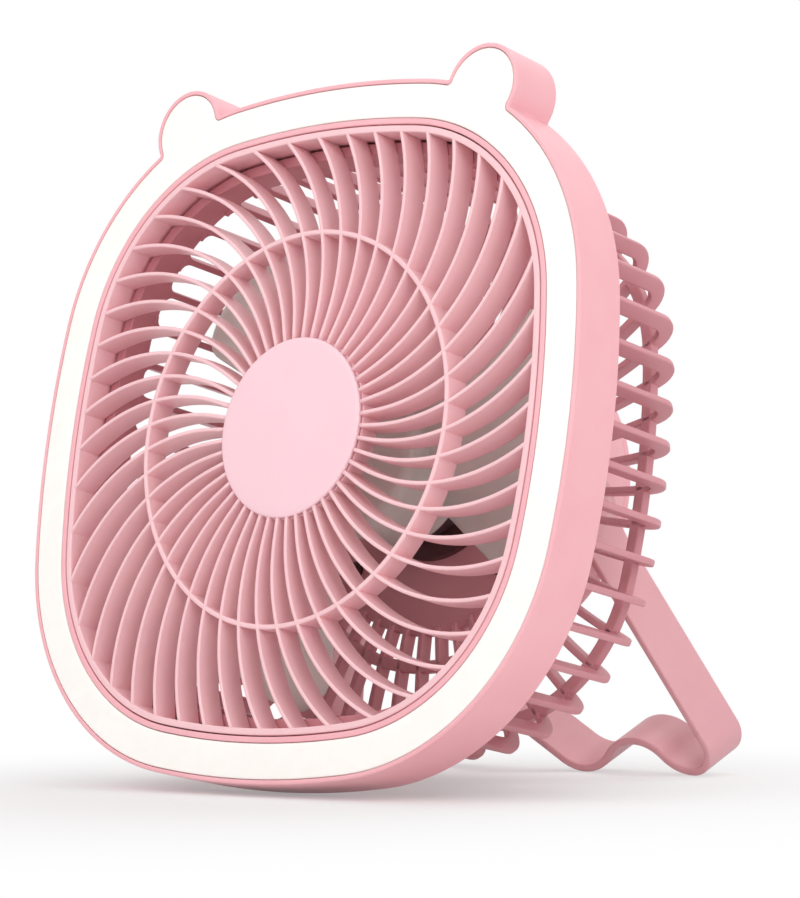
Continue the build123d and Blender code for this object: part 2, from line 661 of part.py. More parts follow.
def impeller_nut():
    """Nut that keeps the impeller on its shaft."""
    profile = RegularPolygon(NUT_RADIUS, 6) - Circle(SHAFT_RADIUS + SLIP_FIT)
    return slab(profile, HUB_FRONT - NUT_THICK, HUB_FRONT)


def strap_half():
    """Centreline of the stand's right half, from its pivot down to the middle of the foot.

    x runs to the right and y up the strap from the lowest point of the feet. The wave's hump is
    made of pairs of equal arcs, and straight slopes rise from its inner dips to a middle bridge.
    """
    half_pitch = WAVE_PITCH / 2
    foot_x = BRIDGE_HALF + WAVE_PITCH
    pivot_y = STRAP_REACH - STRAP_THICK / 2
    bend = (STRAP_X, pivot_y - STRAP_BEND)
    toward_x = foot_x - bend[0]
    toward_y = FOOT_RADIUS - bend[1]
    distance = math.hypot(toward_x, toward_y)
    heading = math.atan2(toward_y, toward_x) + math.asin(FOOT_RADIUS / distance)
    run = math.sqrt(distance**2 - FOOT_RADIUS**2)
    leg_end = (bend[0] + run * math.cos(heading), bend[1] + run * math.sin(heading))
    edges = FilletPolyline((STRAP_X, pivot_y), bend, leg_end, radius=STRAP_BEND_RADIUS).edges()
    edges.append(TangentArc(leg_end, (foot_x, 0), tangent=(math.cos(heading), math.sin(heading))))
    for start_x, start_y in ((foot_x, 0), (foot_x - half_pitch, WAVE_HEIGHT)):
        end = (start_x - half_pitch, WAVE_HEIGHT - start_y)
        middle = (start_x - half_pitch / 2, WAVE_HEIGHT / 2)
        edges.append(TangentArc((start_x, start_y), middle, tangent=(-1, 0)))
        edges.append(TangentArc(end, middle, tangent=(1, 0)))
    slope = math.radians(BRIDGE_SLOPE)
    across = BRIDGE_RADIUS * math.sin(slope)
    rise = BRIDGE_RADIUS * (1 - math.cos(slope))
    crest = 2 * rise + (BRIDGE_HALF - 2 * across) * math.tan(slope)
    low = (BRIDGE_HALF - across, rise)
    high = (across, crest - rise)
    edges.append(TangentArc((BRIDGE_HALF, 0), low, tangent=(-1, 0)))
    edges.append(Line(low, high))
    edges.append(TangentArc((0, crest), high, tangent=(1, 0)))
    return edges


def bail_stand():
    """Folding stand: one bent strap with a wavy foot and a round eye at each pivot.

    Drawn in the strap's own plane with its pivots at y = 0.
    """
    right = strap_half()
    left = [edge.mirror(Plane.YZ) for edge in right]
    pivot_y = STRAP_REACH - STRAP_THICK / 2
    profile = Pos(0, -pivot_y) * trace(right + left, STRAP_THICK)
    body = extrude(profile, STRAP_WIDTH / 2, both=True)
    for side in (-1, 1):
        eye = Pos(side * STRAP_X, 0, 0) * Rot(0, 90, 0)
        body += eye * Cylinder(STRAP_WIDTH / 2, STRAP_THICK)
        body -= eye * Cylinder(PIN_RADIUS + SLIP_FIT, STRAP_THICK + 2 * OVERRUN)
    return body


def pivot_pins():
    """Shoulder pins on which the stand swings."""
    pins = []
    for side in (-1, 1):
        root = PIVOT_FACE - PIVOT_PROUD - POD_WALL
        neck = STRAP_OUTER_X + PIVOT_PLAY
        lie = Pos(side * root, -PIVOT_DROP, -PIVOT_DEPTH) * Rot(0, side * 90, 0)
        head = Pos(0, 0, neck - root) * extrude(Circle(PIN_HEAD), PIN_HEAD_THICK)
        pins.append(lie * (extrude(Circle(PIN_RADIUS), neck - root) + head))
    return group(pins)


def friction_washers():
    """Washers between the pod's pivot bosses and the stand."""
    washers = []
    for side in (-1, 1):
        lie = Pos(side * PIVOT_FACE, -PIVOT_DROP, -PIVOT_DEPTH) * Rot(0, side * 90, 0)
        ring = Circle(PIN_RADIUS + SLIP_FIT + WASHER_WALL) - Circle(PIN_RADIUS + SLIP_FIT)
        washers.append(lie * extrude(ring, WASHER_THICK))
    return group(washers)


RIBS = cage_ribs()
HEAD_PIECES = {
    "front_frame": front_frame(),
    "light_diffuser": light_diffuser(),
    "light_board": light_board(),
    "light_chips": light_chips(),
    "front_grille": front_grille(),
    "hub_cap": hub_cap(),
    "rear_basket": rear_basket(RIBS),
    "rear_guard": rear_guard(RIBS),
    "basket_screws": basket_screws(),
    "rear_housing": rear_housing(),
    "housing_screws": housing_screws(),
    "housing_cover": housing_cover(),
    "cover_screws": cover_screws(),
    "battery_cell": battery_cell(),
    "battery_contacts": battery_contacts(),
    "control_board": control_board(),
    "tact_switches": tact_switches(),
    "usb_socket": usb_socket(),
    "light_button": button(BUTTON_PLACES[0]),
    "speed_button": button(BUTTON_PLACES[1]),
    "motor_base": motor_base(),
    "motor_screws": motor_screws(),
    "shaft_bearings": shaft_bearings(),
    "stator_core": stator_core(),
    "stator_coils": stator_coils(),
    "rotor_can": rotor_can(),
    "rotor_magnet": rotor_magnet(),
    "motor_shaft": motor_shaft(),
    "impeller": impeller(),
    "impeller_nut": impeller_nut(),
    "pivot_pins": pivot_pins(),
    "friction_washers": friction_washers(),
}


def assemble():
    """Lean the head back, open the stand to the floor and centre the whole over the origin."""
    head = Pos(0, 0, HEAD_LIFT) * Rot(90 - HEAD_TILT, 0, 0)
    pivot = (head * Pos(0, -PIVOT_DROP, -PIVOT_DEPTH)).position
    stand = Pos(pivot) * Rot(180 - STAND_PITCH, 0, 0)
    placed = {name: head * shape for name, shape in HEAD_PIECES.items()}
    placed["bail_stand"] = stand * bail_stand()
    front = placed["front_frame"].bounding_box().min.Y
    back = placed["bail_stand"].bounding_box().max.Y
    centre = Pos(0, -(front + back) / 2, 0)
    return {name: centre * shape for name, shape in placed.items()}, centre * head


def main():
    """Write every piece and print the places of the moving joints."""
    os.makedirs("parts", exist_ok=True)
    placed, head = assemble()
    for name, shape in placed.items():
        export_step(shape, "parts/" + name + ".step")
    print("fan axis point", (head * Pos(0, 0, -BLADE_DEPTH)).position)
    print("stand pivot", (head * Pos(0, -PIVOT_DROP, -PIVOT_DEPTH)).position)
    for name, place in zip(("light button", "speed button"), BUTTON_PLACES):
        print(name, (head * place * Pos(0, 0, -COVER_FAR)).position)
    print("head origin", head.position)


main()
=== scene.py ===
"""Looks of a rounded-square desk fan: frame, light ring, grille, cage, impeller, pod and stand.

Sizes are in millimetres. Head pieces are drawn in the head's own frame, with x to the right,
y up the face and a depth behind the face, and stand pieces in the strap's own frame. A Place
turns either into the part's frame when a mesh is made.
"""

import json
import logging
import math
from dataclasses import dataclass, field
from enum import Enum
from typing import Any, Sequence

import bmesh
import bpy
import numpy as np
from mathutils import Matrix, Vector


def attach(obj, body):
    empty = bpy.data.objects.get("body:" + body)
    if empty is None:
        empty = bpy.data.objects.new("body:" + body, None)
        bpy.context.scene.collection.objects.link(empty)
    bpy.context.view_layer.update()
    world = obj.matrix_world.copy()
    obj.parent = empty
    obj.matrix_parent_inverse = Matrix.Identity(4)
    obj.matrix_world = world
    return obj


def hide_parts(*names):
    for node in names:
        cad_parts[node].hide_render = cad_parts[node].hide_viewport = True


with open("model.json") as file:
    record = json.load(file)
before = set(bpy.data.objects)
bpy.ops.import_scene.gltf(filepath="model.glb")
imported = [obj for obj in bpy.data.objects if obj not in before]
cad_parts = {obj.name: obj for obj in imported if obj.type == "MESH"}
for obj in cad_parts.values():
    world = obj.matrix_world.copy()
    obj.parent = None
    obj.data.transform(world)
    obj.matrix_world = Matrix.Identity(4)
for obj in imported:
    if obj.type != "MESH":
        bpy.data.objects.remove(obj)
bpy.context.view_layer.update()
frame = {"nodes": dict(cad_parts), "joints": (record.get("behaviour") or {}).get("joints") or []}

LOG = logging.getLogger("desk_fan")
MM = 0.001
BLADE_DEPTH = 39.0
FAN_AXIS = (0.0, -0.979223, 0.202787)
WHITE = (1.0, 1.0, 1.0, 1.0)
MIRROR = np.array([-1.0, 1.0])
Array = np.ndarray
Triple = tuple[float, float, float]
Colour = Triple


class Body(str, Enum):
    """The bodies that pieces ride on."""

    HEAD = "head"
    ROTOR = "rotor"
    STAND = "stand"
    LIGHT_BUTTON = "light_button"
    SPEED_BUTTON = "speed_button"


def linear(red: int, green: int, blue: int) -> Colour:
    """Turn a screen colour into the renderer's linear values.

    Args:
        red: Red from 0 to 255.
        green: Green from 0 to 255.
        blue: Blue from 0 to 255.

    Returns:
        The three linear values from 0 to 1.
    """
    share = np.array([red, green, blue]) / 255
    low = share / 12.92
    high = ((share + 0.055) / 1.055) ** 2.4
    return tuple(float(v) for v in np.where(share <= 0.04045, low, high))


class Sock:
    """A shader socket that takes part in sums, differences, products and quotients."""

    def __init__(self, tree: "Tree", socket: bpy.types.NodeSocket) -> None:
        """Wrap one output socket of a tree."""
        self.tree = tree
        self.socket = socket

    def maths(self, operation: str, first: Any, second: Any) -> "Sock":
        """Add one Math node.

        Args:
            operation: The Math node's operation.
            first: Value or socket of its first input.
            second: Value or socket of its second input.

        Returns:
            The node's value.
        """
        return self.tree.add("ShaderNodeMath", {"operation": operation}, {0: first, 1: second})

    def __add__(self, other: Any) -> "Sock":
        """Sum of two values."""
        return self.maths("ADD", self, other)

    def __radd__(self, other: Any) -> "Sock":
        """Sum with a plain number on the left."""
        return self.maths("ADD", other, self)

    def __sub__(self, other: Any) -> "Sock":
        """Difference of two values."""
        return self.maths("SUBTRACT", self, other)

    def __rsub__(self, other: Any) -> "Sock":
        """Difference from a plain number."""
        return self.maths("SUBTRACT", other, self)

    def __mul__(self, other: Any) -> "Sock":
        """Product of two values."""
        return self.maths("MULTIPLY", self, other)

    def __rmul__(self, other: Any) -> "Sock":
        """Product with a plain number on the left."""
        return self.maths("MULTIPLY", other, self)

    def __truediv__(self, other: Any) -> "Sock":
        """Quotient of two values."""
        return self.maths("DIVIDE", self, other)


class Tree:
    """The node tree of one material or world, filled through one method."""

    def __init__(self, owner: Any) -> None:
        """Empty the owner's node tree and keep it."""
        owner.use_nodes = True
        self.tree = owner.node_tree
        self.tree.nodes.clear()

    def add(self, kind: str, settings: dict[str, Any], inputs: dict[Any, Any], output: Any = 0) -> Sock:
        """Add one node, set it and link its inputs.

        Args:
            kind: The node's type name.
            settings: The node's own settings by name.
            inputs: Values or sockets by input name or number.
            output: Name or number of the output to give back.

        Returns:
            The chosen output of the node, or None where it has no output.
        """
        node = self.tree.nodes.new(kind)
        for key, value in settings.items():
            setattr(node, key, value)
        for key, value in inputs.items():
            if isinstance(value, Sock):
                self.tree.links.new(value.socket, node.inputs[key])
            else:
                node.inputs[key].default_value = value
        return Sock(self, node.outputs[output]) if len(node.outputs) else None

    def coordinates(self) -> Sock:
        """Object coordinates, in metres in the part's frame."""
        return self.add("ShaderNodeTexCoord", {}, {}, "Object")

    def noise(self, size: float, detail: float, where: Sock | None = None) -> Sock:
        """Noise with patches of about a given size.

        Args:
            size: Patch size in millimetres.
            detail: Octaves of finer noise.
            where: Coordinates, or None for the object's own.

        Returns:
            The noise value from 0 to 1.
        """
        inputs = {"Vector": where or self.coordinates(), "Scale": 1 / (size * MM), "Detail": detail}
        return self.add("ShaderNodeTexNoise", {}, inputs, 0)

    def blend(self, share: Any, first: Any, second: Any) -> Sock:
        """Mix two colours.

        Args:
            share: Share of the second colour.
            first: First colour or socket.
            second: Second colour or socket.

        Returns:
            The mixed colour.
        """
        first = first if isinstance(first, Sock) else (*first, 1.0)
        second = second if isinstance(second, Sock) else (*second, 1.0)
        return self.add("ShaderNodeMix", {"data_type": "RGBA"}, {0: share, 6: first, 7: second}, 2)

    def steps(self, value: Sock, low: float, high: float) -> Sock:
        """Smooth mask that rises from 0 at low to 1 at high.

        Args:
            value: The value to test.
            low: Value where the mask starts.
            high: Value where the mask is full.

        Returns:
            The mask.
        """
        settings = {"interpolation_type": "SMOOTHSTEP"}
        return self.add("ShaderNodeMapRange", settings, {0: value, 1: low, 2: high, 3: 0.0, 4: 1.0})

    def bump(self, height: Sock, depth: float) -> Sock:
        """Normal of a surface raised by a height map.

        Args:
            height: Height from 0 to 1.
            depth: Full height in millimetres.

        Returns:
            The normal.
        """
        inputs = {"Strength": 1.0, "Distance": depth * MM, "Height": height}
        return self.add("ShaderNodeBump", {}, inputs)

    def surface(self, **inputs: Any) -> None:
        """Finish the tree with a Principled shader whose inputs are given by name."""
        named = {key.replace("_", " "): value for key, value in inputs.items()}
        shader = self.add("ShaderNodeBsdfPrincipled", {}, named)
        self.add("ShaderNodeOutputMaterial", {}, {"Surface": shader})


@dataclass(frozen=True)
class Finish:
    """A finish that makes its material once."""

    name: str

    def material(self) -> bpy.types.Material:
        """Make the material, or find it if it was made before."""
        found = bpy.data.materials.get(self.name)
        if found is None:
            found = bpy.data.materials.new(self.name)
            self.fill(Tree(found))
        return found

    def fill(self, tree: Tree) -> None:
        """Fill the material's tree; each finish has its own way."""
        raise NotImplementedError(self.name)


@dataclass(frozen=True)
class MouldedPlastic(Finish):
    """Moulded plastic: a fine spark-eroded grain, faint flow marks and uneven gloss."""

    colour: Colour
    shade: Colour
    roughness: float = 0.42
    grain: float = 0.35
    depth: float = 0.012
    coat: float = 0.08

    def fill(self, tree: Tree) -> None:
        """Mix two close tints by slow noise, and raise a fine grain."""
        where = tree.coordinates()
        slow = tree.noise(46.0, 2.0, where)
        flow = tree.noise(9.0, 3.0, where)
        grain = tree.noise(self.grain, 2.0, where)
        tint = tree.blend(tree.steps(slow * 0.7 + flow * 0.3, 0.3, 0.7), self.colour, self.shade)
        tree.surface(
            Base_Color=tint,
            Roughness=self.roughness + 0.10 * (flow - 0.5) + 0.06 * (grain - 0.5),
            Normal=tree.bump(grain * 0.8 + flow * 0.2, self.depth),
            Coat_Weight=self.coat,
            Coat_Roughness=0.25,
            Specular_IOR_Level=0.45,
        )


@dataclass(frozen=True)
class MilkyLens(Finish):
    """Milky light lens that glows evenly, with a faint unevenness from the chips behind it."""

    colour: Colour
    glow: Colour
    strength: float

    def fill(self, tree: Tree) -> None:
        """Glow through a faintly clouded white skin."""
        where = tree.coordinates()
        cloud = tree.noise(7.0, 2.0, where)
        grain = tree.noise(0.5, 2.0, where)
        dim = tuple(0.97 * c for c in self.colour)
        tint = tree.blend(tree.steps(cloud, 0.35, 0.65), self.colour, dim)
        tree.surface(
            Base_Color=tint,
            Roughness=0.34 + 0.10 * (grain - 0.5),
            Normal=tree.bump(grain, 0.006),
            Emission_Color=tree.blend(cloud * 0.10, self.glow, self.colour),
            Emission_Strength=self.strength,
            Coat_Weight=0.15,
            Coat_Roughness=0.2,
        )


@dataclass(frozen=True)
class BladePlastic(Finish):
    """Pale blade plastic with faint streaks along the flow of the mould."""

    colour: Colour
    shade: Colour

    def fill(self, tree: Tree) -> None:
        """Streak two greys and keep a soft gloss."""
        where = tree.coordinates()
        stretched = tree.add("ShaderNodeMapping", {}, {0: where, 3: (0.35, 1.0, 1.0)})
        streak = tree.noise(14.0, 4.0, stretched)
        grain = tree.noise(0.4, 2.0, where)
        tree.surface(
            Base_Color=tree.blend(tree.steps(streak, 0.35, 0.65), self.colour, self.shade),
            Roughness=0.36 + 0.12 * (streak - 0.5) + 0.06 * (grain - 0.5),
            Normal=tree.bump(grain * 0.7 + streak * 0.3, 0.010),
            Subsurface_Weight=0.12,
            Subsurface_Radius=(0.004, 0.003, 0.003),
            Coat_Weight=0.1,
        )


@dataclass(frozen=True)
class WorkedMetal(Finish):
    """Metal with fine tool marks, small pits and patches of dull plating."""

    colour: Colour
    roughness: float = 0.3
    marks: Triple = (1.0, 1.0, 14.0)
    depth: float = 0.006

    def fill(self, tree: Tree) -> None:
        """Stretch noise along one axis for the marks and dull it by slow noise."""
        where = tree.coordinates()
        drawn = tree.add("ShaderNodeMapping", {}, {0: where, 3: self.marks})
        marks = tree.noise(1.2, 4.0, drawn)
        patches = tree.noise(4.0, 3.0, where)
        dark = tuple(0.72 * c for c in self.colour)
        tree.surface(
            Base_Color=tree.blend(tree.steps(patches, 0.35, 0.75), self.colour, dark),
            Metallic=1.0,
            Roughness=self.roughness + 0.18 * (marks - 0.5) + 0.12 * (patches - 0.5),
            Normal=tree.bump(marks, self.depth),
        )


@dataclass(frozen=True)
class CircuitBoard(Finish):
    """Circuit board: lacquer over copper tracks, with bare pads."""

    lacquer: Colour
    track: Colour
    pad: Colour

    def fill(self, tree: Tree) -> None:
        """Lay tracks by a brick pattern and pads by round cells."""
        where = tree.coordinates()
        laid = {
            "Vector": where,
            "Scale": 1.0,
            "Brick Width": 5.2 * MM,
            "Row Height": 1.9 * MM,
            "Mortar Size": 0.28 * MM,
        }
        tracks = tree.add("ShaderNodeTexBrick", {}, laid, 1)
        cells = tree.add("ShaderNodeTexVoronoi", {}, {"Vector": where, "Scale": 1 / (4.3 * MM)}, 0)
        pads = 1 - tree.steps(cells, 0.12, 0.16)
        weave = tree.noise(0.6, 2.0, where)
        lacquer = tree.blend(tracks * 0.8, self.lacquer, self.track)
        tree.surface(
            Base_Color=tree.blend(pads, lacquer, self.pad),
            Metallic=pads * 0.8,
            Roughness=0.38 + 0.1 * (weave - 0.5),
            Normal=tree.bump(tracks * 0.6 + weave * 0.4, 0.03),
            Coat_Weight=0.3,
        )


@dataclass(frozen=True)
class LightChip(Finish):
    """Light chips: phosphor gel in a pale case."""

    gel: Colour
    case: Colour

    def fill(self, tree: Tree) -> None:
        """Clot the gel unevenly over the case."""
        where = tree.coordinates()
        clots = tree.noise(1.1, 2.0, where)
        tree.surface(
            Base_Color=tree.blend(tree.steps(clots, 0.42, 0.58), self.gel, self.case),
            Roughness=0.3 + 0.2 * (clots - 0.5),
            Normal=tree.bump(clots, 0.02),
        )


@dataclass(frozen=True)
class WoundWire(Finish):
    """Enamelled wire wound in close turns."""

    colour: Colour
    gap: Colour
    wire: float = 0.35

    def fill(self, tree: Tree) -> None:
        """Band the coil in round turns between dark gaps, whose darkness is painted shade in the
        grooves.
        """
        where = tree.coordinates()
        settings = {"wave_type": "BANDS", "bands_direction": "DIAGONAL", "wave_profile": "SIN"}
        sockets = {"Vector": where, "Scale": 0.16 / (self.wire * MM)}
        turns = tree.add("ShaderNodeTexWave", settings, sockets, 1)
        wear = tree.noise(2.0, 3.0, where)
        tree.surface(
            # Painted shade: the gap colour darkens the grooves between turns.
            Base_Color=tree.blend(tree.steps(turns, 0.15, 0.6), self.gap, self.colour),
            Metallic=0.85,
            Roughness=0.3 + 0.15 * (wear - 0.5),
            Normal=tree.bump(turns, 0.08),
            Coat_Weight=0.4,
        )


@dataclass(frozen=True)
class Laminations(Finish):
    """Stacked steel sheets: thin bands across the motor's axis."""

    colour: Colour
    seam: Colour
    axis: Triple
    sheet: float = 0.5

    def fill(self, tree: Tree) -> None:
        """Band the stack by the place along the axis."""
        where = tree.coordinates()
        settings = {"operation": "DOT_PRODUCT"}
        along = tree.add("ShaderNodeVectorMath", settings, {0: where, 1: self.axis}, 1)
        phase = along * (1 / (self.sheet * MM))
        saw = tree.add("ShaderNodeMath", {"operation": "FRACT"}, {0: phase})
        line = tree.steps(saw, 0.78, 0.92)
        dull = tree.noise(1.5, 3.0, where)
        tree.surface(
            Base_Color=tree.blend(line, self.colour, self.seam),
            Metallic=0.9,
            Roughness=0.42 + 0.15 * (dull - 0.5),
            Normal=tree.bump(1 - line, 0.05),
        )


@dataclass(frozen=True)
class Ferrite(Finish):
    """Dull pressed ferrite with pale specks."""

    colour: Colour
    speck: Colour

    def fill(self, tree: Tree) -> None:
        """Scatter specks by fine noise over a dark ground."""
        where = tree.coordinates()
        grit = tree.noise(0.7, 4.0, where)
        tree.surface(
            Base_Color=tree.blend(tree.steps(grit, 0.62, 0.72), self.colour, self.speck),
            Roughness=0.6 + 0.2 * (grit - 0.5),
            Normal=tree.bump(grit, 0.04),
        )


@dataclass(frozen=True)
class ShrinkWrap(Finish):
    """Shrunk sleeve of a round cell: glossy film with faint creases."""

    colour: Colour
    crease: Colour

    def fill(self, tree: Tree) -> None:
        """Crease the film along the cell, and darken it in the creases as painted shade."""
        where = tree.coordinates()
        drawn = tree.add("ShaderNodeMapping", {}, {0: where, 3: (0.2, 1.0, 1.0)})
        crease = tree.noise(2.5, 3.0, drawn)
        tree.surface(
            # Painted shade: the crease colour darkens the film where the creases fall.
            Base_Color=tree.blend(tree.steps(crease, 0.55, 0.75), self.colour, self.crease),
            Roughness=0.22 + 0.15 * (crease - 0.5),
            Normal=tree.bump(crease, 0.05),
            Coat_Weight=0.5,
        )


PINK = linear(249, 186, 193)
PINK_SHADE = linear(246, 178, 186)
SHELL = MouldedPlastic("moulded_pink_shell", PINK, PINK_SHADE)
# Vane pink: paler than the shell's pink as painted light, standing in for fill light on the vanes'
# shaded sides.
LIT_VANE_PINK = MouldedPlastic("moulded_pink_vanes_painted_light", linear(250, 205, 209), linear(247, 199, 204), 0.4)
# Cage pink: the shell's pink darkened as painted shade for the shadowed inside of the cage.
SHADED_CAGE_PINK = MouldedPlastic("moulded_pink_cage_painted_shade", linear(219, 152, 160), linear(213, 145, 153), 0.46)
STRAP_PINK = MouldedPlastic("moulded_pink_strap", linear(230, 172, 178), linear(226, 166, 173), 0.44)
CAP_PINK = MouldedPlastic("matt_pale_cap", linear(253, 212, 221), linear(252, 208, 217), 0.5, grain=0.28)
KEY_PINK = MouldedPlastic("matt_pale_buttons", linear(253, 212, 221), linear(251, 206, 216), 0.5)
LENS = MilkyLens("milky_light_lens", linear(252, 248, 243), (1.0, 0.965, 0.93), strength=0.06)
BLADE = BladePlastic("pale_blade_plastic", linear(222, 224, 217), linear(211, 213, 206))
PLATED = WorkedMetal("zinc_plated_steel", linear(205, 205, 208))
# Screws inside the pod: the dark pinkish colour is painted shade that sinks the heads into the shaded
# plate.
SHADE_TINTED_STEEL = WorkedMetal("steel_with_painted_shade", linear(92, 66, 68), roughness=0.5)
POLISHED = WorkedMetal("ground_steel_shaft", linear(214, 214, 216), roughness=0.18)
DRAWN_CUP = WorkedMetal("drawn_steel_cup", linear(184, 185, 190), roughness=0.34, marks=(1.0, 9.0, 1.0))
# Motor base: a dark maroon that is painted shade, standing in for the deep shadow round the motor.
SHADE_DARK_CASTING = MouldedPlastic("casting_dark_as_painted_shade", linear(92, 52, 55), linear(80, 44, 47), 0.5, depth=0.03)
BRONZE = WorkedMetal("sintered_bronze", linear(176, 126, 72), 0.45, marks=(1.0, 1.0, 1.0), depth=0.03)
CONTACT = WorkedMetal("sprung_contact", linear(222, 200, 150), roughness=0.28)
SOCKET = WorkedMetal("plated_socket", linear(210, 211, 214), roughness=0.24)
BOARD = CircuitBoard("green_board", linear(22, 88, 52), linear(34, 116, 66), linear(214, 196, 142))
LIGHT_BOARD = CircuitBoard(
    "white_light_board", linear(236, 236, 232), linear(222, 222, 216), linear(214, 196, 142)
)
CHIPS = LightChip("phosphor_chips", linear(250, 226, 120), linear(244, 240, 226))
# The coil's dark second colour is painted shade between the turns.
COPPER = WoundWire("enamelled_copper", linear(196, 106, 52), linear(70, 30, 14))
SHEETS = Laminations("stacked_sheets", linear(150, 152, 156), linear(52, 52, 56), FAN_AXIS)
MAGNET = Ferrite("dark_ferrite", linear(66, 64, 66), linear(120, 118, 118))
# The sleeve's second colour is painted shade in its creases.
SLEEVE = ShrinkWrap("cell_sleeve", linear(58, 118, 178), linear(44, 96, 152))
NYLON = MouldedPlastic("nylon_washer", linear(236, 233, 224), linear(228, 224, 213), roughness=0.55)
SWITCH = MouldedPlastic("black_switch", linear(36, 36, 38), linear(28, 28, 30), roughness=0.5)


@dataclass(frozen=True)
class Place:
    """Origin and axes of a local frame, in millimetres in the part's frame."""

    origin: Array
    axes: Array

    def world(self, local: Array) -> Array:
        """Turn local points into the part's frame: origin plus local times axes."""
        return self.origin + local @ self.axes


@dataclass
class Surface:
    """Points and faces of a skin."""

    points: Array
    quads: Array
    tris: Array

    def outward(self) -> "Surface":
        """Turn the faces over where the enclosed volume comes out negative.

        Returns:
            The same skin with its faces pointing outwards.
        """
        corners = np.concatenate([self.quads[:, [0, 1, 2]], self.quads[:, [0, 2, 3]], self.tris])
        a, b, c = (self.points[corners[:, i]] for i in range(3))
        if np.einsum("ij,ij->", a - self.points.mean(0), np.cross(b - a, c - a)) < 0:
            return Surface(self.points, self.quads[:, ::-1], self.tris[:, ::-1])
        return self

    def normals(self) -> Array:
        """Point normals: the sum of the face normals, each weighted by its face's area.

        Returns:
            One unit normal for each point.
        """
        p, q, t = self.points, self.quads, self.tris
        four = np.cross(p[q[:, 2]] - p[q[:, 0]], p[q[:, 3]] - p[q[:, 1]])
        three = np.cross(p[t[:, 1]] - p[t[:, 0]], p[t[:, 2]] - p[t[:, 0]])
        total = np.zeros_like(p)
        np.add.at(total, q.ravel(), np.repeat(four, 4, axis=0))
        np.add.at(total, t.ravel(), np.repeat(three, 3, axis=0))
        return total / np.maximum(np.linalg.norm(total, axis=1, keepdims=True), 1e-12)


def skin(grid: Array, wrap_rows: bool = False, caps: bool = False) -> Surface:
    """Skin over a grid of points: four neighbours in rows i, i+1 and columns j, j+1 make a face.

    The last column is joined to the first.

    Args:
        grid: Points by row and column.
        wrap_rows: Join the last row to the first.
        caps: Close both end rows by fans to their mean points.

    Returns:
        The skin, facing outwards.
    """
    rows, columns = grid.shape[:2]
    index = np.arange(rows * columns).reshape(rows, columns)
    index = np.vstack([index, index[:1]]) if wrap_rows else index
    index = np.hstack([index, index[:, :1]])
    corners = [index[:-1, :-1], index[:-1, 1:], index[1:, 1:], index[1:, :-1]]
    quads = np.stack(corners, axis=-1).reshape(-1, 4)
    points = grid.reshape(-1, 3)
    tris = np.empty((0, 3), int)
    if caps:
        first, last, count = index[0], index[-1], len(points)
        near = np.stack([np.full(len(first) - 1, count), first[1:], first[:-1]], axis=-1)
        far = np.stack([np.full(len(last) - 1, count + 1), last[:-1], last[1:]], axis=-1)
        tris = np.vstack([near, far])
        points = np.vstack([points, grid[[0, -1]].mean(axis=1)])
    return Surface(points, quads, tris).outward()


def joined(surfaces: Sequence[Surface]) -> Surface:
    """Put several skins into one, with their faces renumbered.

    Args:
        surfaces: The skins.

    Returns:
        One skin that holds them all.
    """
    starts = np.cumsum([0] + [len(s.points) for s in surfaces[:-1]])
    return Surface(
        np.concatenate([s.points for s in surfaces]),
        np.concatenate([s.quads + start for s, start in zip(surfaces, starts)]),
        np.concatenate([s.tris + start for s, start in zip(surfaces, starts)]),
    )


def rounded_loop(
    corners: Sequence[tuple[float, float]], radii: Sequence[float], steps: int = 4
) -> Array:
    """Closed profile with rounded corners.

    Each corner C is replaced by the curve (1-s)^2 A + 2 s (1-s) C + s^2 B, where A and B lie on
    its two edges, one radius away from it.

    Args:
        corners: The profile's corners in order.
        radii: How far each rounding reaches along its edges.
        steps: Points on each rounding.

    Returns:
        The profile's points.
    """
    corner = np.array(corners, float)
    reach = np.array(radii, float)[:, None]
    before = np.roll(corner, 1, axis=0) - corner
    after = np.roll(corner, -1, axis=0) - corner
    start = corner + reach * before / np.linalg.norm(before, axis=1, keepdims=True)
    end = corner + reach * after / np.linalg.norm(after, axis=1, keepdims=True)
    s = np.linspace(0, 1, steps)[None, :, None]
    curve = (1 - s) ** 2 * start[:, None] + 2 * s * (1 - s) * corner[:, None] + s**2 * end[:, None]
    return curve.reshape(-1, 2)


def spun(
    profile: Array, steps: int, centre: tuple[float, float] = (0.0, 0.0), loop: bool = False
) -> Surface:
    """Surface of revolution about the fan's axis: x = r cos t, y = r sin t.

    Args:
        profile: Radius and depth of each ring.
        steps: Points round each ring.
        centre: Axis place on the face.
        loop: True where the profile is a closed ring section, False where its ends get caps.

    Returns:
        The skin in the head's frame.
    """
    t = np.linspace(0, 2 * np.pi, steps, endpoint=False)
    ring = np.stack([np.cos(t), np.sin(t), np.zeros_like(t)], axis=-1)
    rise = np.array([0.0, 0.0, 1.0])
    grid = profile[:, :1, None] * ring[None] + profile[:, 1:, None] * rise
    return skin(grid + np.array([*centre, 0.0]), wrap_rows=loop, caps=not loop)


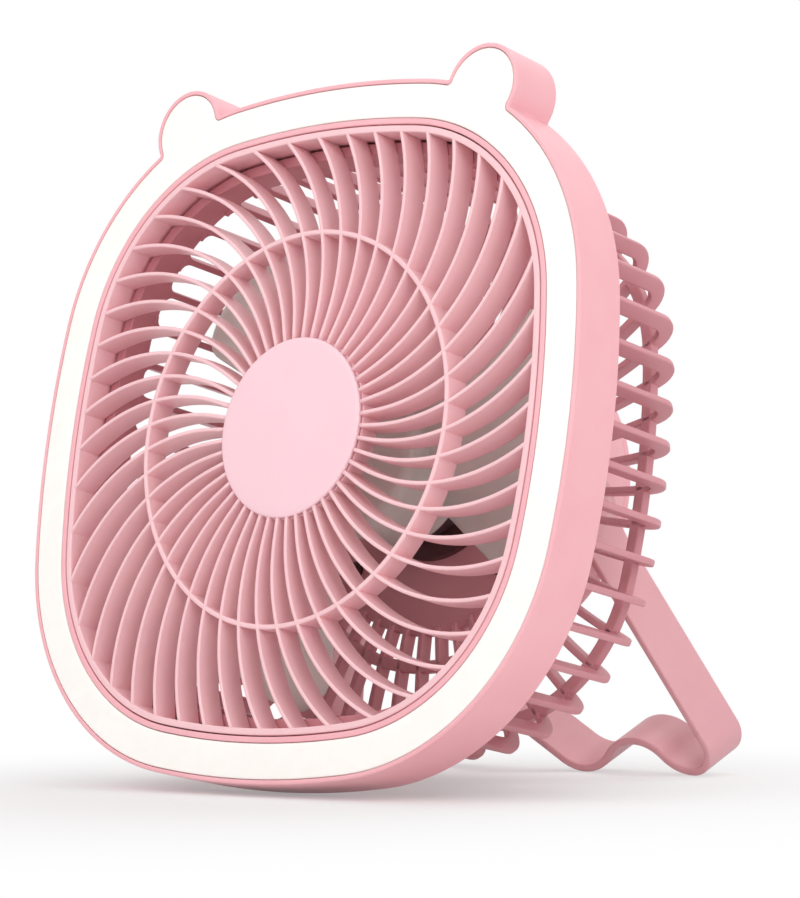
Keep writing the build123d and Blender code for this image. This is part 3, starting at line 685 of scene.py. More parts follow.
@dataclass(frozen=True)
class RoundedSquare:
    """The face's outline: four bowed sides and four round corners, all arcs."""

    half: float = 101.8
    side: float = 279.8
    corner: float = 72.8

    @property
    def bow(self) -> float:
        """Distance of a side arc's centre behind the middle."""
        return self.side - self.half

    @property
    def middle(self) -> float:
        """Coordinate of a corner arc's centre."""
        span = self.side - self.corner
        return (math.sqrt(2 * span**2 - self.bow**2) - self.bow) / 2

    @property
    def turn(self) -> float:
        """Half of the angle that a side arc covers."""
        return math.atan2(self.middle, self.middle + self.bow)

    def inset_at(self, x: Array, y: Array) -> Array:
        """How far points lie inside the outline, from the arc that faces them.

        Args:
            x: Places to the right.
            y: Places up the face.

        Returns:
            The inset of each point.
        """
        long, short = np.maximum(abs(x), abs(y)), np.minimum(abs(x), abs(y))
        faces_side = short * (self.middle + self.bow) <= self.middle * (long + self.bow)
        side = self.side - np.hypot(short, long + self.bow)
        corner = self.corner - np.hypot(short - self.middle, long - self.middle)
        return np.where(faces_side, side, corner)

    def at(self, angle: Array) -> tuple[Array, Array]:
        """Outline points by the angle of their outward normal.

        A point is its arc's centre plus its arc's radius along the normal.

        Args:
            angle: Angles of the normals.

        Returns:
            The points and their normals.
        """
        normal = np.stack([np.cos(angle), np.sin(angle)], axis=-1)
        facing = np.round(angle / (np.pi / 2)) * (np.pi / 2)
        axis = np.stack([np.cos(facing), np.sin(facing)], axis=-1)
        on_side = (abs(angle - facing) <= self.turn + 1e-9)[..., None]
        side = self.side * normal - self.bow * axis
        corner = self.corner * normal + self.middle * np.sign(normal)
        return np.where(on_side, side, corner), normal

    def angles(self, side_steps: int, corner_steps: int) -> Array:
        """Normal angles spread along all sides and corners.

        Args:
            side_steps: Steps along each side.
            corner_steps: Steps round each corner.

        Returns:
            The angles of one full turn.
        """
        side = np.linspace(-self.turn, self.turn, side_steps, endpoint=False)
        corner = np.linspace(self.turn, np.pi / 2 - self.turn, corner_steps, endpoint=False)
        quarter = np.concatenate([side, corner])
        return (quarter[None] + np.arange(4)[:, None] * np.pi / 2).ravel()

    def swept(self, profile: Array, side_steps: int = 28, corner_steps: int = 36) -> Surface:
        """Carry a closed profile of insets and depths round the outline.

        Args:
            profile: Inset and depth of each profile point.
            side_steps: Steps along each side.
            corner_steps: Steps round each corner.

        Returns:
            The skin in the head's frame.
        """
        return ring_of(*self.at(self.angles(side_steps, corner_steps)), profile)


def ring_of(points: Array, normals: Array, profile: Array) -> Surface:
    """Closed ring: each path point less the inset along its normal, at the profile's depth.

    Args:
        points: Path points on the face.
        normals: Outward normals of the path.
        profile: Inset and depth of each profile point.

    Returns:
        The skin in the head's frame.
    """
    flat = points[:, None] - profile[None, :, :1] * normals[:, None]
    depth = np.broadcast_to(profile[None, :, 1:], (*flat.shape[:2], 1))
    return skin(np.concatenate([flat, depth], axis=-1), wrap_rows=True)


def arc(centre: Array, radius: float, start: float, end: float, steps: int) -> Array:
    """Points on an arc: centre + radius (cos t, sin t).

    Args:
        centre: The arc's centre.
        radius: The arc's radius.
        start: First angle.
        end: Last angle.
        steps: Number of points.

    Returns:
        The points.
    """
    t = np.linspace(start, end, steps)
    return np.asarray(centre) + radius * np.stack([np.cos(t), np.sin(t)], axis=-1)


def bearing(vector: Array) -> float:
    """Angle of a flat vector."""
    return math.atan2(vector[1], vector[0])


def make_piece(
    name: str,
    surface: Surface,
    place: Place,
    body: Body,
    finish: Finish,
    nodes: Sequence[str],
) -> bpy.types.Object:
    """Make a mesh object from a skin and let it stand for CAD nodes.

    Args:
        name: The piece's name.
        surface: Its skin, in local millimetres.
        place: The frame that the skin is drawn in.
        body: The body that it rides on.
        finish: Its finish.
        nodes: The CAD nodes that it stands for.

    Returns:
        The new object.
    """
    placed = Surface(place.world(surface.points), surface.quads, surface.tris)
    if np.linalg.det(place.axes) < 0:
        placed = Surface(placed.points, placed.quads[:, ::-1], placed.tris[:, ::-1])
    mesh = bpy.data.meshes.new(name)
    faces = placed.quads.tolist() + placed.tris.tolist()
    mesh.from_pydata((placed.points * MM).tolist(), [], faces)
    mesh.polygons.foreach_set("use_smooth", np.ones(len(faces), bool))
    mesh.normals_split_custom_set_from_vertices(placed.normals().tolist())
    mesh.materials.append(finish.material())
    piece = bpy.data.objects.new(name, mesh)
    bpy.context.scene.collection.objects.link(piece)
    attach(piece, body.value)
    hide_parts(*nodes)
    LOG.info("%s: %d faces on %s", name, len(faces), body.value)
    return piece


def soften(
    name: str, node: str, body: Body, finish: Finish, width: float
) -> bpy.types.Object:
    """Stand a copy of a CAD node in for it, with its edges rounded.

    Args:
        name: The piece's name.
        node: The CAD node to copy.
        body: The body that it rides on.
        finish: Its finish.
        width: Width of the rounding in millimetres.

    Returns:
        The new object.
    """
    weld, level, sharp = 0.002 * MM, math.radians(1.0), math.radians(40)
    mesh = frame["nodes"][node].data.copy()
    mesh.name = name
    work = bmesh.new()
    work.from_mesh(mesh)
    bmesh.ops.remove_doubles(work, verts=work.verts, dist=weld)
    bmesh.ops.dissolve_limit(work, angle_limit=level, verts=work.verts, edges=work.edges)
    work.to_mesh(mesh)
    work.free()
    mesh.polygons.foreach_set("use_smooth", np.ones(len(mesh.polygons), bool))
    mesh.materials.clear()
    mesh.materials.append(finish.material())
    piece = bpy.data.objects.new(name, mesh)
    bpy.context.scene.collection.objects.link(piece)
    rounding = piece.modifiers.new("rounded_edges", "BEVEL")
    rounding.width = width * MM
    rounding.segments = 3
    rounding.limit_method = "ANGLE"
    rounding.angle_limit = sharp
    rounding.harden_normals = True
    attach(piece, body.value)
    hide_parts(node)
    LOG.info("%s: softened copy on %s", name, body.value)
    return piece


def head_place() -> Place:
    """Head frame from the fan's own axis: depth runs against the axis, up is square to it.

    Returns:
        The place of the head.
    """
    spin = next(joint for joint in frame["joints"] if joint["name"] == "impeller_spin")
    out = np.array(spin["axis"], float)
    origin = np.array(spin["pos_m"], float) / MM + BLADE_DEPTH * out
    return Place(origin, np.array([(1.0, 0.0, 0.0), (0.0, out[2], -out[1]), -out]))


def stand_place(pitch: float = 69.1) -> Place:
    """Strap frame at the pivot: y runs up the strap and z across it.

    Args:
        pitch: Degrees that the strap hangs below level.

    Returns:
        The place of the stand.
    """
    hinge = next(joint for joint in frame["joints"] if joint["name"] == "stand_fold")
    turn = math.radians(180 - pitch)
    up = (0.0, math.cos(turn), math.sin(turn))
    across = (0.0, -math.sin(turn), math.cos(turn))
    return Place(np.array(hinge["pos_m"], float) / MM, np.array([(1.0, 0.0, 0.0), up, across]))


OUTLINE = RoundedSquare()
HEAD = head_place()


@dataclass
class FrontShell:
    """Front frame with two round ears, and the lens that covers the light ring."""

    ear_spread: float = 57.3
    ear_height: float = 94.5
    ear_radius: float = 12.7
    crease: float = 0.5
    depth: float = 18.0
    wall: float = 2.2
    lip: float = 1.3
    lens_inset: float = 11.7
    opening_inset: float = 13.4
    ledge_inset: float = 15.5
    lens_thick: float = 2.2
    gap: float = 0.2
    ledge_depths: tuple[float, float] = (8.0, 10.0)
    web_insets: tuple[float, float] = (2.0, 11.9)
    web_depths: tuple[float, float] = (9.0, 11.0)
    ear_back_radius: float = 12.2
    ear_back_depths: tuple[float, float] = (15.9, 17.9)
    ear_back_edge: float = 0.4

    def eared_path(self) -> tuple[Array, Array, Array]:
        """Outline with its ears, right half from the bottom up and the left half mirrored.

        A small arc of the crease's radius lies against the corner arc and the ear's arc on
        each side of the ear. Ear points get base angles spread evenly along the corner arc.

        Returns:
            Points, outward normals and base angles on the plain outline.
        """
        corner_centre = np.full(2, OUTLINE.middle)
        ear = np.array([self.ear_spread, self.ear_height])
        line = ear - corner_centre
        span = float(np.hypot(*line))
        line = line / span
        side = np.array([-line[1], line[0]])
        far, near = OUTLINE.corner + self.crease, self.ear_radius + self.crease
        along = (far**2 - near**2 + span**2) / (2 * span)
        off = math.sqrt(far**2 - along**2)
        low, high = (corner_centre + along * line + s * off * side for s in (-1, 1))
        start, end = bearing(low - corner_centre), bearing(high - corner_centre)
        turn, quarter = OUTLINE.turn, np.pi / 2
        rising = np.concatenate([
            np.linspace(-quarter, turn - quarter, 15, endpoint=False),
            np.linspace(turn - quarter, -turn, 36, endpoint=False),
            np.linspace(-turn, turn, 28, endpoint=False),
            np.linspace(turn, start, 18, endpoint=False),
        ])
        closing = np.concatenate([
            np.linspace(end, quarter - turn, 14, endpoint=False)[1:],
            np.linspace(quarter - turn, quarter, 15),
        ])
        ear_start, ear_end = bearing(low - ear), bearing(high - ear)
        ear_arc = arc(ear, self.ear_radius, ear_start, ear_end, 44)
        creases = []
        for centre, first, last in ((low, corner_centre, ear), (high, ear, corner_centre)):
            a, b = bearing(first - centre), bearing(last - centre)
            b = a + (b - a + np.pi) % (2 * np.pi) - np.pi
            creases.append((arc(centre, self.crease, a, b, 6), centre))
        turned = [(points, (centre - points) / self.crease) for points, centre in creases]
        parts = [
            OUTLINE.at(rising),
            turned[0],
            (ear_arc[1:-1], (ear_arc[1:-1] - ear) / self.ear_radius),
            turned[1],
            OUTLINE.at(closing),
        ]
        points = np.concatenate([p for p, _ in parts])
        normals = np.concatenate([n for _, n in parts])
        between = np.linspace(start, end, len(points) - len(rising) - len(closing))
        base = np.concatenate([rising, between, closing])
        left = slice(-2, 0, -1)
        return (
            np.concatenate([points, points[left] * MIRROR]),
            np.concatenate([normals, normals[left] * MIRROR]),
            np.concatenate([base, np.pi - base[left]]),
        )

    def build_frame(self) -> bpy.types.Object:
        """Frame: an eared outer wall, the inner lip with its ledge, the web and the ears' backs.

        Returns:
            The frame's object.
        """
        points, normals, _ = self.eared_path()
        seat = self.lens_thick + self.gap
        wall = rounded_loop(
            [
                (0, 0),
                (self.lip, 0),
                (self.lip, seat),
                (self.wall, seat),
                (self.wall, self.depth),
                (0, self.depth),
            ],
            [0.55, 0.25, 0.1, 0.1, 0.4, 0.7],
        )
        near, far = self.ledge_depths
        inner = rounded_loop(
            [
                (self.lens_inset, 0),
                (self.opening_inset, 0),
                (self.opening_inset, near),
                (self.ledge_inset, near),
                (self.ledge_inset, far),
                (self.lens_inset, far),
            ],
            [0.3, 0.45, 0.2, 0.2, 0.2, 0.2],
        )
        (low, high), (near, far) = self.web_insets, self.web_depths
        web = rounded_loop([(low, near), (high, near), (high, far), (low, far)], [0.2] * 4)
        rim, edge = self.ear_back_radius, self.ear_back_edge
        near, far = self.ear_back_depths
        back = np.array([(rim - edge, near), (rim, near + edge), (rim, far - edge), (rim - edge, far)])
        pieces = [ring_of(points, normals, wall), OUTLINE.swept(inner), OUTLINE.swept(web)]
        pieces += [spun(back, 40, (side * self.ear_spread, self.ear_height)) for side in (-1, 1)]
        surface = joined(pieces)
        return make_piece("front_shell", surface, HEAD, Body.HEAD, SHELL, ["front_frame"])

    def build_lens(self) -> bpy.types.Object:
        """Lens between the eared edge and the plain inner edge.

        A point is outer (1 - share) + inner share, and its depth follows a rounded section.

        Returns:
            The lens's object.
        """
        points, normals, base = self.eared_path()
        outer = points - (self.lip + self.gap) * normals
        plain, across = OUTLINE.at(base)
        inner = plain - (self.lens_inset - self.gap) * across
        share = np.array([0, 0, 0.015, 0.05, 0.2, 0.4, 0.6, 0.8, 0.95, 0.985, 1, 1, 0.5])
        back = self.lens_thick
        depth = np.array([back, 0.35, 0.1, 0.02, 0, 0, 0, 0, 0.02, 0.1, 0.35, back, back])
        flat = outer[:, None] * (1 - share[None, :, None]) + inner[:, None] * share[None, :, None]
        levels = np.broadcast_to(depth[None, :, None], (*flat.shape[:2], 1))
        lens = skin(np.concatenate([flat, levels], axis=-1), wrap_rows=True)
        return make_piece("light_lens", lens, HEAD, Body.HEAD, LENS, ["light_diffuser"])


@dataclass
class Swirl:
    """Bars that leave a circle straight out and then bend along an arc, turned round the axis."""

    start: float
    straight: float
    curve: float
    count: int
    phase: float

    def at(self, length: Array) -> tuple[Array, Array]:
        """Points of every bar at given lengths from the start circle.

        On the straight x = start + s. On the arc, with t = (s - straight) / curve,
        x = start + straight + curve sin t and y = curve (1 - cos t).

        Args:
            length: Lengths by bar and step.

        Returns:
            The points and the bars' side directions.
        """
        t = np.maximum(length - self.straight, 0) / self.curve
        x = self.start + np.minimum(length, self.straight) + self.curve * np.sin(t)
        y = self.curve * (1 - np.cos(t))
        turn = np.radians(self.phase + 360 * np.arange(self.count) / self.count)[:, None]
        cos, sin = np.cos(turn), np.sin(turn)
        points = np.stack([x * cos - y * sin, x * sin + y * cos], axis=-1)
        side = np.stack([-np.sin(t + turn), np.cos(t + turn)], axis=-1)
        return points, side

    def reach(self, inset: float) -> Array:
        """Length at which each bar meets the outline's inset, read between close steps.

        Args:
            inset: The inset to meet.

        Returns:
            One length for each bar.
        """
        steps = np.linspace(0, 130, 1301)
        points, _ = self.at(np.broadcast_to(steps, (self.count, len(steps))))
        left = OUTLINE.inset_at(points[..., 0], points[..., 1]) - inset
        last = np.argmax(left < 0, axis=1)
        rows = np.arange(self.count)
        a, b = left[rows, last - 1], left[rows, last]
        return steps[last - 1] + (steps[1] - steps[0]) * a / (a - b)


@dataclass
class Grille:
    """Front grille: swirled vanes between the hub and a rim, a middle ring and a plain cap."""

    swirl: Swirl = field(default_factory=lambda: Swirl(24.9, 6.7, 61.0, 48, 6.2))
    rim_inset: float = 13.75
    rim_width: float = 2.0
    depth: float = 8.0
    vane_front: float = 1.15
    vane_back: float = 1.5
    ring_radius: float = 57.5
    ring_width: float = 1.5
    cap_radius: float = 26.3
    cap_proud: float = 0.4
    cap_crown: float = 0.06
    cap_thick: float = 2.0
    under_cap: float = 0.3
    hub_margin: float = 0.35

    def vanes(self) -> list[Surface]:
        """Vanes: a tapered rounded section carried along each bar.

        Returns:
            One closed skin for each vane.
        """
        front, back = self.vane_front / 2, self.vane_back / 2
        section = rounded_loop(
            [(-front, 0.02), (front, 0.02), (back, self.depth), (-back, self.depth)],
            [0.42, 0.42, 0.3, 0.3],
        )
        ends = self.swirl.reach(self.rim_inset + self.rim_width / 2)
        begin = self.cap_radius - self.under_cap - self.swirl.start
        share = np.linspace(0, 1, 30)
        points, side = self.swirl.at(begin + share[None] * (ends - begin)[:, None])
        flat = points[:, :, None] + section[None, None, :, :1] * side[:, :, None]
        depth = np.broadcast_to(section[None, None, :, 1:], (*flat.shape[:3], 1))
        return [skin(grid, caps=True) for grid in np.concatenate([flat, depth], axis=-1)]

    def build(self) -> bpy.types.Object:
        """Grille with its vanes, rim, ring and hub.

        Returns:
            The grille's object.
        """
        near, far = self.rim_inset, self.rim_inset + self.rim_width
        back = self.depth
        rim = rounded_loop([(near, 0), (far, 0), (far, back), (near, back)], [0.45, 0.45, 0.3, 0.3])
        low, high = self.ring_radius - self.ring_width / 2, self.ring_radius + self.ring_width / 2
        ring = rounded_loop([(low, 0.05), (high, 0.05), (high, back), (low, back)], [0.5, 0.5, 0.3, 0.3])
        hub = self.cap_radius + self.hub_margin
        stub = np.array([
            (hub - 0.8, 1.4), (hub - 0.1, 1.45), (hub, 1.7), (hub, back - 0.5), (hub - 0.5, back),
        ])
        pieces = [OUTLINE.swept(rim), spun(ring, 144, loop=True), spun(stub, 96), *self.vanes()]
        surface = joined(pieces)
        nodes = ["front_grille"]
        # The grille's paler pink is painted light.
        return make_piece("swirled_grille", surface, HEAD, Body.HEAD, LIT_VANE_PINK, nodes)

    def build_cap(self) -> bpy.types.Object:
        """Cap: a shallow crown with a rounded edge, spun about the axis.

        Returns:
            The cap's object.
        """
        edge = self.cap_radius
        radius = np.array([2.0, 8.0, 14.0, 19.0, 23.0, 24.6, 25.4, 25.9, 26.2, edge, edge])
        fall = self.cap_crown * (radius / edge) ** 2
        skirt = self.cap_thick - self.cap_crown
        rounding = np.array([0, 0, 0, 0, 0, 0.01, 0.06, 0.16, 0.34, 0.62, skirt])
        depth = fall - self.cap_proud + rounding
        cap = spun(np.stack([radius, depth], axis=-1), 128)
        return make_piece("plain_cap", cap, HEAD, Body.HEAD, CAP_PINK, ["hub_cap"])


@dataclass
class Cage:
    """Rear cage: swirled ribs that turn the corner from the sides to the back, hoops and a plate."""

    swirl: Swirl = field(default_factory=lambda: Swirl(46.5, 4.0, 170.0, 48, 1.2))
    inset: float = 15.0
    width: float = 4.6
    thick: float = 2.0
    rib_round: float = 0.55
    near: float = 17.0
    flange_inset: float = 2.4
    flange_near: float = 15.8
    flange_far: float = 18.0
    collar_insets: tuple[float, float] = (16.2, 19.6)
    collar_near: float = 8.3
    root: float = 3.0
    far: float = 70.0
    outer_round: float = 9.0
    inner_round: float = 4.4
    hoop_inset: float = 23.6
    hoop_width: float = 3.6
    hoop_depth: float = 3.4
    hoop_radius: float = 58.0
    plate_radius: float = 48.5
    plate_thick: float = 3.5

    def edge(self, reach: Array, depth: float, radius: float, steps: tuple[int, int, int]) -> Array:
        """One edge of the ribs in the plane of length and depth: down, round the corner and in.

        Args:
            reach: Length of each rib's side.
            depth: Depth of the rear run.
            radius: Radius of the corner.
            steps: Points on the side, on the corner and on the rear run.

        Returns:
            Length and depth by rib and step.
        """
        down, bend, inward = steps
        turn = np.linspace(0, np.pi / 2, bend)
        foot = self.flange_far + self.root * np.linspace(0, 1, 6) ** 1.6
        rise = np.linspace(foot[-1], depth - radius, down, endpoint=False)[1:]
        fall = np.concatenate([[self.near], foot, rise])
        side = np.stack([np.zeros(len(fall)), fall], axis=-1)
        corner = np.stack([radius * (np.cos(turn) - 1), depth - radius * (1 - np.sin(turn))], axis=-1)
        fixed = reach[:, None, None] * np.array([1.0, 0.0]) + np.concatenate([side, corner])[None]
        share = np.linspace(1, 0, inward + 1)[1:]
        run = np.stack(np.broadcast_arrays(share[None] * (reach - radius)[:, None], depth), axis=-1)
        return np.concatenate([fixed, run], axis=1)

    def ribs(self) -> list[Surface]:
        """Ribs: a rounded section between the outer and the inner edge, along each bar.

        At a height h above the flange, up to the root's radius R, each side of a rib spreads
        by R less the root of R^2 - (R - h)^2, so that the slots between ribs have round ends.

        Returns:
            One closed skin for each rib.
        """
        steps = (10, 9, 22)
        outer = self.edge(self.swirl.reach(self.inset), self.far, self.outer_round, steps)
        within = self.swirl.reach(self.inset + self.width)
        inner = self.edge(within, self.far - self.width, self.inner_round, steps)
        half = self.thick / 2
        corners = [(0, -half), (self.width, -half), (self.width, half), (0, half)]
        section = rounded_loop(corners, [self.rib_round] * 4)
        across = (section[:, 0] / self.width)[None, None, :, None]
        strip = outer[:, :, None] * (1 - across) + inner[:, :, None] * across
        count, rows, columns = strip.shape[:3]
        points, side = self.swirl.at(strip[..., 0].reshape(count, -1))
        short = self.root - np.clip(strip[..., 1] - self.flange_far, 0, self.root)
        spread = self.root - np.sqrt(self.root**2 - short**2)
        offset = section[:, 1] + np.sign(section[:, 1]) * spread
        flat = (points + offset.reshape(count, -1, 1) * side).reshape(count, rows, columns, 2)
        return [skin(grid, caps=True) for grid in np.concatenate([flat, strip[..., 1:]], axis=-1)]

    def build(self) -> bpy.types.Object:
        """Cage with its ribs, flange, hoops and plate.

        A collar runs from the flange forward to the grille's rim and closes the gap behind it.

        Returns:
            The cage's object.
        """
        collar_out, collar_in = self.collar_insets
        flange = rounded_loop(
            [
                (self.flange_inset, self.flange_near),
                (collar_out, self.flange_near),
                (collar_out, self.collar_near),
                (collar_in, self.collar_near),
                (collar_in, self.flange_far),
                (self.flange_inset, self.flange_far),
            ],
            [0.3, 0.4, 0.4, 0.4, 0.5, 0.3],
        )
        inner = self.far - self.width
        low, high = self.hoop_inset, self.hoop_inset + self.hoop_width
        outer = inner + self.hoop_depth
        hoop = rounded_loop([(low, inner), (high, inner), (high, outer), (low, outer)], [0.7] * 4)
        half = self.hoop_width / 2
        small = hoop * np.array([0.0, 1.0])
        small[:, 0] = self.hoop_radius + (hoop[:, 0] - low) - half
        top = self.far - self.plate_thick
        r = self.plate_radius
        plate = np.array([
            (r - 0.8, top), (r - 0.2, top + 0.2), (r, top + 0.8),
            (r, self.far - 0.8), (r - 0.2, self.far - 0.2), (r - 0.8, self.far),
        ])
        hoops = [OUTLINE.swept(hoop), spun(small, 144, loop=True)]
        surface = joined([OUTLINE.swept(flange), *hoops, spun(plate, 128), *self.ribs()])
        nodes = ["rear_basket", "rear_guard"]
        # The cage's darker pink is painted shade.
        return make_piece("swirled_cage", surface, HEAD, Body.HEAD, SHADED_CAGE_PINK, nodes)


@dataclass
class Impeller:
    """Impeller: twisted, cambered blades wrapped on cylinders about a round hub."""

    blades: int = 3
    phase: float = 117.5
    depth: float = BLADE_DEPTH
    bore: float = 1.6
    cup_floor: float = 28.4
    hub_radius: float = 24.63
    hub_inner: float = 20.43
    front: float = 26.0
    back: float = 52.0
    tip: float = 77.7
    root_chord: float = 36.4
    tip_chord: float = 99.0
    root_pitch: float = 39.6
    tip_pitch: float = 13.6
    tip_from: float = 0.76
    tip_cut: float = 0.26
    camber: float = 3.0
    thick: float = 1.8

    def blade_skins(self) -> list[Surface]:
        """Blades: at each radius a cambered section is pitched and wrapped on its cylinder.

        With a along the chord and b off it, the angle is (a cos p - b sin p) / radius and the
        rise is a sin p + b cos p. The chord's width and rise run evenly from root to tip, and
        its corners are rounded off at the tip.

        Returns:
            One closed skin for each blade.
        """
        share = np.concatenate([np.linspace(0, 0.9, 22), 1 - 0.1 * (1 - np.linspace(0, 1, 8)[1:]) ** 2])
        root = (self.hub_radius + self.hub_inner) / 2
        radius = root + share * (self.tip - root)
        shrink = 1 - self.tip_cut * np.clip((share - self.tip_from) / (1 - self.tip_from), 0, 1) ** 3
        ends = np.radians([self.root_pitch, self.tip_pitch])
        half = np.array([self.root_chord, self.tip_chord]) / 2
        wide = np.interp(share, [0, 1], half * np.cos(ends))
        tall = np.interp(share, [0, 1], half * np.sin(ends))
        chord = 2 * np.hypot(wide, tall) * shrink
        pitch = np.arctan2(tall, wide)[:, None]
        t = np.linspace(0, 2 * np.pi, 44, endpoint=False)
        u, over = np.cos(t), np.sign(np.sin(t))
        body = 0.5 * self.thick * (1 - 0.55 * u**2) * np.sqrt(np.maximum(1 - u**8, 0))
        a = u[None] * chord[:, None] / 2
        b = self.camber * (1 - u**2)[None] + self.thick / 2 + (over * body)[None]
        angle = (a * np.cos(pitch) - b * np.sin(pitch)) / radius[:, None]
        depth = self.depth - (a * np.sin(pitch) + b * np.cos(pitch))
        turns = np.radians(self.phase + 360 * np.arange(self.blades) / self.blades)[:, None, None]
        x = radius[None, :, None] * np.cos(angle[None] + turns)
        y = radius[None, :, None] * np.sin(angle[None] + turns)
        grids = np.stack(np.broadcast_arrays(x, y, depth[None]), axis=-1)
        return [skin(grid, caps=True) for grid in grids]

    def build(self) -> bpy.types.Object:
        """Impeller with its hub cup and blades.

        Returns:
            The impeller's object.
        """
        outer, inner = self.hub_radius, self.hub_inner
        cup = rounded_loop(
            [
                (self.bore, self.front),
                (outer, self.front),
                (outer, self.back),
                (inner, self.back),
                (inner, self.cup_floor),
                (self.bore, self.cup_floor),
            ],
            [0.1, 4.0, 0.6, 0.4, 1.0, 0.1],
            7,
        )
        surface = joined([spun(cup, 96, loop=True), *self.blade_skins()])
        nodes = ["impeller"]
        return make_piece("bladed_impeller", surface, HEAD, Body.ROTOR, BLADE, nodes)


@dataclass
class Stand:
    """Folding stand: one strap bent into two legs and a wavy foot."""

    width: float = 18.0
    thick: float = 2.3
    strap_x: float = 49.5
    bend: float = 11.0
    bend_radius: float = 20.0
    wave_pitch: float = 39.6
    wave_height: float = 9.4
    foot_radius: float = 6.5
    bridge_half: float = 28.2
    bridge_slope: float = 39.0
    bridge_radius: float = 12.5
    soft: float = 0.75
    place: Place = field(default_factory=stand_place)

    def centreline(self) -> Array:
        """Right half of the strap's centreline, from above its pivot to the middle of the foot.

        The leg runs from a bend under the pivot to the foot's arc, which it touches. The hump
        of the wave is made of pairs of equal arcs that meet half way up, and a straight slope
        between two arcs rises from the inner dip to the bridge in the middle.

        Returns:
            Points across and up the strap, with the pivot at zero height.
        """
        pivot_z = self.place.origin[2]
        pitch = math.asin(min(1.0, abs(self.place.axes[1][2])))
        reach = (pivot_z - self.width / 2 * math.cos(pitch)) / math.sin(pitch) - self.thick / 2
        half = self.wave_pitch / 2
        foot = np.array([self.bridge_half + self.wave_pitch, self.foot_radius])
        corner = np.array([self.strap_x, reach - self.bend])
        to_foot = foot - corner
        span = float(np.hypot(*to_foot))
        heading = bearing(to_foot) + math.asin(self.foot_radius / span)
        run = math.sqrt(span**2 - self.foot_radius**2)
        direction = np.array([math.cos(heading), math.sin(heading)])
        splay = heading + np.pi / 2
        cut = self.bend_radius * math.tan(splay / 2)
        bend_centre = np.array([self.strap_x + self.bend_radius, corner[1] + cut])
        upright = np.linspace(reach + self.width / 2, corner[1] + cut, 9, endpoint=False)
        above = np.stack([np.full(9, self.strap_x), upright], axis=-1)
        rounding = arc(bend_centre, self.bend_radius, np.pi, np.pi + splay, 10)
        leg = corner + np.linspace(cut, run, 22)[1:-1, None] * direction
        sole = arc(foot, self.foot_radius, heading + np.pi / 2, -np.pi / 2, 20)
        quarter = half / 2
        rise = self.wave_height / 2
        radius = (quarter**2 + rise**2) / (2 * rise)
        sweep = 2 * math.atan2(rise, quarter)
        dip = arc((0.0, radius), radius, -np.pi / 2, -np.pi / 2 - sweep, 9)
        hump = arc((-half, self.wave_height - radius), radius, np.pi / 2 - sweep, np.pi / 2, 9)
        fall = np.concatenate([dip, hump[1:]])
        climb = fall[::-1] * MIRROR + np.array([-half, 0.0])
        shift = np.array([half, 0.0])
        start = np.array([foot[0], 0.0])
        slope = math.radians(self.bridge_slope)
        across, up = self.bridge_radius * math.sin(slope), self.bridge_radius * (1 - math.cos(slope))
        crest = 2 * up + (self.bridge_half - 2 * across) * math.tan(slope)
        centre = (self.bridge_half, self.bridge_radius)
        low = arc(centre, self.bridge_radius, -np.pi / 2, -np.pi / 2 - slope, 9)
        centre = (0.0, crest - self.bridge_radius)
        high = arc(centre, self.bridge_radius, np.pi / 2 - slope, np.pi / 2, 9)
        wave = np.concatenate([fall[1:] + start, climb[1:] + start - shift, low[1:], high])
        return np.concatenate([above, rounding, leg, sole, wave]) - np.array([0.0, reach])

    def build(self) -> bpy.types.Object:
        """Strap: a rounded section carried along the centreline, with round ends at the pivots.

        Beyond a pivot the half width is the root of (width / 2)^2 less the squared distance.

        Returns:
            The stand's object.
        """
        right = self.centreline()
        line = np.concatenate([right, right[-2::-1] * MIRROR])
        tangent = np.gradient(line, axis=0)
        tangent /= np.linalg.norm(tangent, axis=1, keepdims=True)
        normal = np.stack([-tangent[:, 1], tangent[:, 0]], axis=-1)
        half = self.width / 2
        past = np.clip(line[:, 1], 0, half * 0.998)
        wide = np.sqrt(half**2 - past**2)
        soft = rounded_loop(
            [
                (-half, -self.thick / 2),
                (half, -self.thick / 2),
                (half, self.thick / 2),
                (-half, self.thick / 2),
            ],
            [self.soft] * 4,
            5,
        )
        inside = np.sign(soft[:, 0]) * (half - abs(soft[:, 0]))
        edge = np.sign(soft[:, 0])[None] * np.maximum(wide[:, None] - abs(inside)[None], 0.02)
        flat = line[:, None] + soft[None, :, 1:] * normal[:, None]
        grid = np.concatenate([flat, edge[..., None]], axis=-1)
        strap = skin(grid, caps=True)
        nodes = ["bail_stand"]
        return make_piece("bent_strap", strap, self.place, Body.STAND, STRAP_PINK, nodes)


